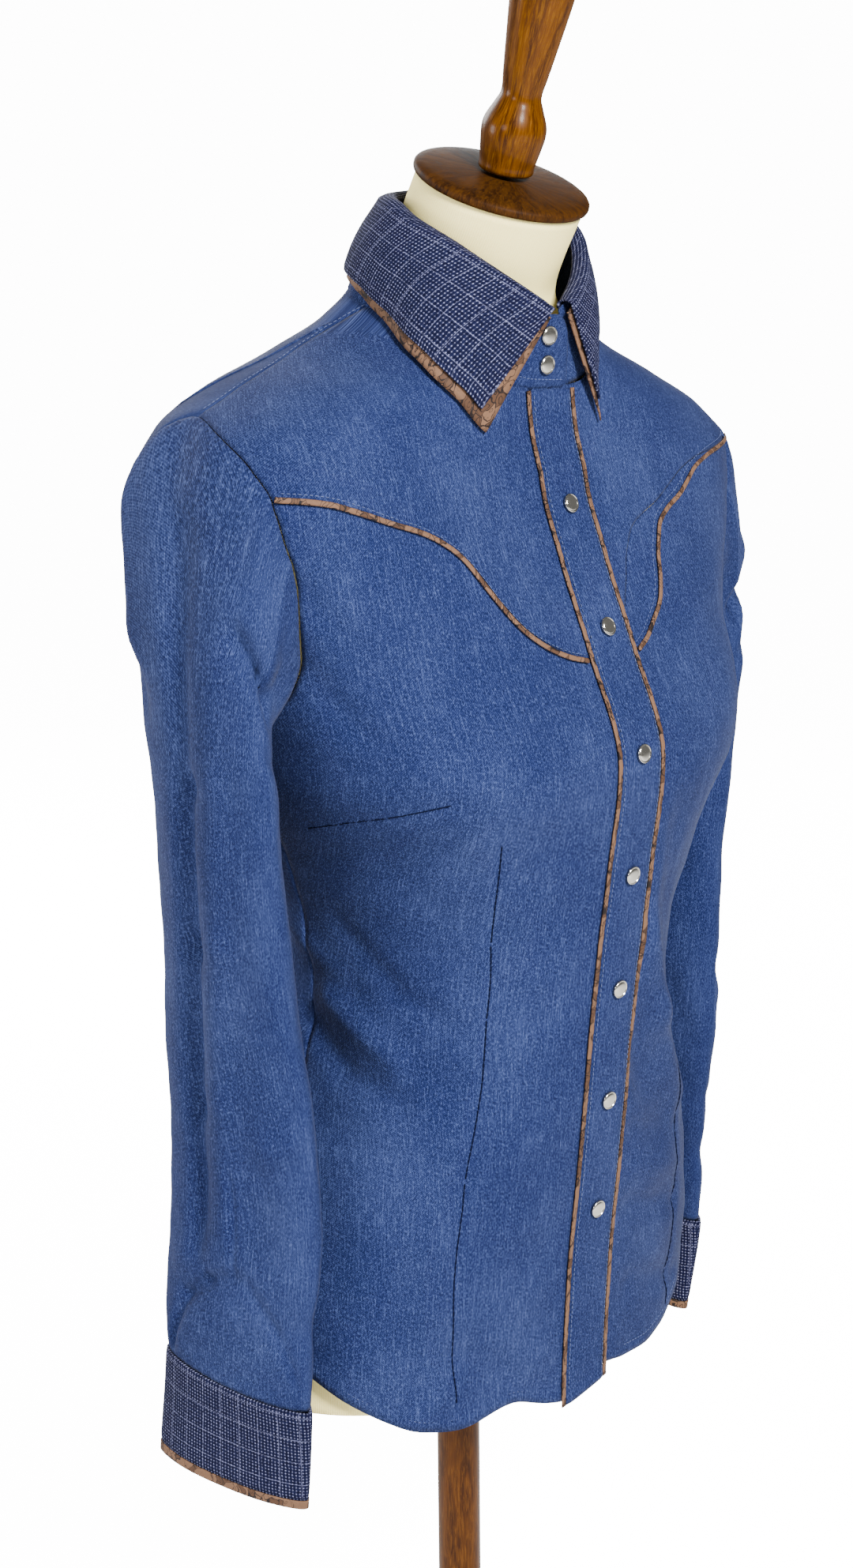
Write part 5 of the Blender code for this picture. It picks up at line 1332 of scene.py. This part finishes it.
def make_stitches():
    yokes, seams, hems, placket = [], [], [], []
    for side, sign in SIDES.items():
        yokes.append(body_run(*yoke_seam(side, PIPING_START, 240, YOKE_ROW)[:-1].T))
        seam = shoulder_seam(side, 0.0)
        seam = at_lengths(np.linspace(0, 1, 120), np.linspace(0, 1, len(seam)), seam)
        seams.append(body_run(seam[:-3, 0] + sign * SHOULDER_ROW, seam[:-3, 1]))
        bearing = np.linspace(*[sign * math.radians(end) for end in HEM_ENDS], 260)
        hems.append(body_run(bearing, hem_height(side, bearing) + HEM_BAND))
    bearing = np.linspace(*np.radians(BACK_HEM_ENDS), 400)
    hems.append(body_run(bearing, back_height(BACK_HEM, bearing) + HEM_BAND))
    seams.append(body_run(*back_yoke_seam(BACK_YOKE_ROW)[2:-2].T))
    for out in (-PLACKET_HALF + PLACKET_ROW, PLACKET_HALF - PLACKET_ROW):
        z = np.linspace(*PLACKET_ENDS, 500)
        placket.append(body_run(bearing_of(out, z), z, LAY + PLACKET_THICK))
    for name, paths in (("yoke_stitches", yokes), ("placket_stitches", placket), ("hem_stitches", hems),
                        ("seam_stitches", seams), ("collar_stitches", [tab_run()])):
        stitches(name, paths)
    # Along each dart an unbroken, very dark line stands for the shadow of the dart's fold: painted
    # shade, not thread.
    darts = [body_run(np.radians(np.linspace(at, to, 40)), np.linspace(low, high, 40), DART_SHADOW_LIFT)
             for at, low, to, high in zip(*DARTS.values())]
    stitches("dart_shadow_lines", darts, DART_SHADOW_PIECE, 0.0, DART_SHADOW_THICK, "painted_dart_shadow")


# ---------------------------------------------------------------- snaps
def make_snaps():
    """A domed cap on each snap, turned about the direction in which its disc is thinnest."""
    profile = [(SNAP_RADIUS * wide, SNAP_HEIGHT * high) for wide, high in SNAP_PROFILE]
    for name in sorted(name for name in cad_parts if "snap" in name):
        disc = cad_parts[name].data
        verts = np.empty(3 * len(disc.vertices))
        disc.vertices.foreach_get("co", verts)
        verts = verts.reshape(-1, 3)
        centre = verts.mean(axis=0)
        axis = Vector(np.linalg.eigh(np.cov((verts - centre).T))[1][:, 0])
        if axis.y > 0:
            axis = -axis
        foot = Vector(centre) + axis * float(((verts - centre) @ np.array(axis)).min())
        turn = Vector((0, 0, 1)).rotation_difference(axis).to_matrix().to_4x4()
        lathe(name + "_cap", profile, "nickel", 48, foot, turn, name)


# ---------------------------------------------------------------- dress form and stand
def make_form():
    """The jersey cover with its neck, closed flat above and below."""
    body = settle(np.array([form_ring(height) for height in FORM_ROWS]))
    neck = [neck_ring(FORM_ANGLES, *row) + (0, 0, HEM_HEIGHT) for row in zip(*NECK.values())]
    grid = np.concatenate([body[:-4], refine(np.array([*body[-4:], *neck]), 5, 1)])
    foot, head = grid[0].copy(), grid[-1]
    grid[0] = foot + (0, 0, FORM_FOOT_RISE)
    foot_rows, head_rows = [
        [ring.mean(axis=0) + (ring - ring.mean(axis=0)) * share for share in shares]
        for ring, shares in ((foot, FORM_FOOT_SHARES), (head, FORM_HEAD_SHARES))]
    grid = np.array([*foot_rows, *grid, *head_rows])
    made = shell_object("form_cover", grid, cloth_map(grid, True), "jersey", closed=True, thickness=None)
    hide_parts("form_torso")


def rounded(profile, times=5):
    """The outline with smooth runs between its points, its two ends kept on the axis."""
    middle = refine(np.array(profile[1:-1])[:, None, :], times, 1)[:, 0]
    return [profile[0], *middle.tolist(), profile[-1]]


def make_neck_cap_and_finial():
    tilt = math.radians(float(NECK["tilt"][-1]))
    axis = Vector((0.0, -math.sin(tilt), math.cos(tilt)))
    top = Vector((0.0, NECK["centre"][-1], NECK["height"][-1] + HEM_HEIGHT)) + SEAM * axis
    seat = top + (CAP_PROFILE[0][1] + SEAM) * axis
    lathe("neck_cap_turned", CAP_PROFILE, "cap_wood", 96, top, Matrix.Rotation(tilt, 4, "X"), "neck_cap")
    lathe("finial_turned", rounded(FINIAL_PROFILE), "finial_wood", 64, seat,
          Matrix.Rotation(FINIAL_TILT, 4, "X"), "finial")


def make_stand_and_base():
    upright = Matrix.Identity(4)
    base = [(0.0, BASE_THICK), (BASE_MIDDLE, BASE_THICK),
            *[(BASE_RADIUS - inset, height) for inset, height in BASE_EDGE], (0.0, 0.0)]
    lathe("base_turned", base, "stand_wood", 128, Vector((0, 0, 0)), upright, "base")
    length = HEM_HEIGHT + FORM_BOTTOM - BASE_THICK - 2 * SEAM
    rows = np.linspace(length, 0.0, POLE_RINGS)
    pole = [(0.0, length), *[(POLE_RADIUS, height) for height in rows], (0.0, 0.0)]
    lathe("pole_turned", pole, "stand_wood", 48, Vector((0, 0, BASE_THICK + SEAM)), upright, "pole")


# ---------------------------------------------------------------- studio
CAMERA_PLACE = (-1.269, -1.196, 1.013)
CAMERA_YAW, CAMERA_DOWN, CAMERA_ROLL = math.radians(46.2), math.radians(13.47), math.radians(-0.66)
LONG_SIDE, FOCAL_PIXELS, SENSOR = 1985, 3880, 36.0


def make_camera():
    data = bpy.data.cameras.new("camera")
    data.sensor_width = SENSOR
    data.lens = FOCAL_PIXELS * SENSOR / LONG_SIDE
    data.clip_start, data.clip_end = 0.05, 100
    level = math.cos(CAMERA_DOWN)
    ahead = Vector((math.sin(CAMERA_YAW) * level, math.cos(CAMERA_YAW) * level, -math.sin(CAMERA_DOWN)))
    right = Vector((math.cos(CAMERA_YAW), -math.sin(CAMERA_YAW), 0))
    up = right.cross(ahead)
    across = math.cos(CAMERA_ROLL) * right + math.sin(CAMERA_ROLL) * up
    upward = -math.sin(CAMERA_ROLL) * right + math.cos(CAMERA_ROLL) * up
    camera = bpy.data.objects.new("camera", data)
    camera.matrix_world = Matrix(((across.x, upward.x, -ahead.x, CAMERA_PLACE[0]),
                                  (across.y, upward.y, -ahead.y, CAMERA_PLACE[1]),
                                  (across.z, upward.z, -ahead.z, CAMERA_PLACE[2]), (0, 0, 0, 1)))
    bpy.context.scene.collection.objects.link(camera)
    bpy.context.scene.camera = camera


LIGHTS = table("x y z size power", [
    (-0.75, -2.3, 2.2, 0.8, 270), (-2.4, -0.4, 1.3, 0.8, 24), (-1.9, 1.4, 1.1, 0.8, 44),
    (1.7, 1.8, 1.5, 1.2, 56), (0.2, 2.6, 1.9, 1.4, 90)])
LIGHT_AIM = Vector((0.0, 0.0, 0.62))
BACKDROP = 14.0               # how bright the pale studio looks
STUDIO_LIGHT = 0.3            # and how much light it gives
FLOOR_RADIUS, FLOOR_TONE = 30, 0.9


def make_studio():
    for number, (x, y, z, size, power) in enumerate(zip(*LIGHTS.values()), 1):
        data = bpy.data.lights.new(f"softbox_{number}", "AREA")
        data.shape, data.size, data.energy = "DISK", size, power
        lamp = bpy.data.objects.new(data.name, data)
        lamp.location = (x, y, z)
        lamp.rotation_euler = (LIGHT_AIM - lamp.location).to_track_quat("-Z", "Y").to_euler()
        bpy.context.scene.collection.objects.link(lamp)
    world = bpy.data.worlds.new("studio")
    bpy.context.scene.world = world
    world.use_nodes = True
    tree = world.node_tree
    background = tree.nodes["Background"]
    seen = tree.nodes.new("ShaderNodeLightPath")
    strength = tree.nodes.new("ShaderNodeMapRange")
    strength.inputs["To Min"].default_value = STUDIO_LIGHT
    strength.inputs["To Max"].default_value = BACKDROP
    tree.links.new(seen.outputs["Is Camera Ray"], strength.inputs["Value"])
    tree.links.new(strength.outputs[0], background.inputs["Strength"])
    background.inputs["Color"].default_value = (1, 1, 1, 1)
    form = bmesh.new()
    bmesh.ops.create_circle(form, cap_ends=True, segments=96, radius=FLOOR_RADIUS)
    mesh = bpy.data.meshes.new("floor")
    form.to_mesh(mesh)
    form.free()
    n = Nodes("pale_floor")
    seen = n.add("ShaderNodeLightPath").outputs["Is Camera Ray"]
    glow = n.add("ShaderNodeMapRange", {"Value": seen, "To Max": BACKDROP - STUDIO_LIGHT})
    n.finish((FLOOR_TONE, FLOOR_TONE, FLOOR_TONE, 1), 0.9)
    n.feed(n.shader, "Emission Color", (1, 1, 1, 1))
    n.feed(n.shader, "Emission Strength", glow.outputs[0])
    mesh.materials.append(n.material)
    floor = bpy.data.objects.new("floor", mesh)
    bpy.context.scene.collection.objects.link(floor)


make_body()
make_placket()
make_yoke_pipings()
make_sleeves()
make_collar()
make_stitches()
make_snaps()
make_form()
make_neck_cap_and_finial()
make_stand_and_base()
make_camera()
make_studio()
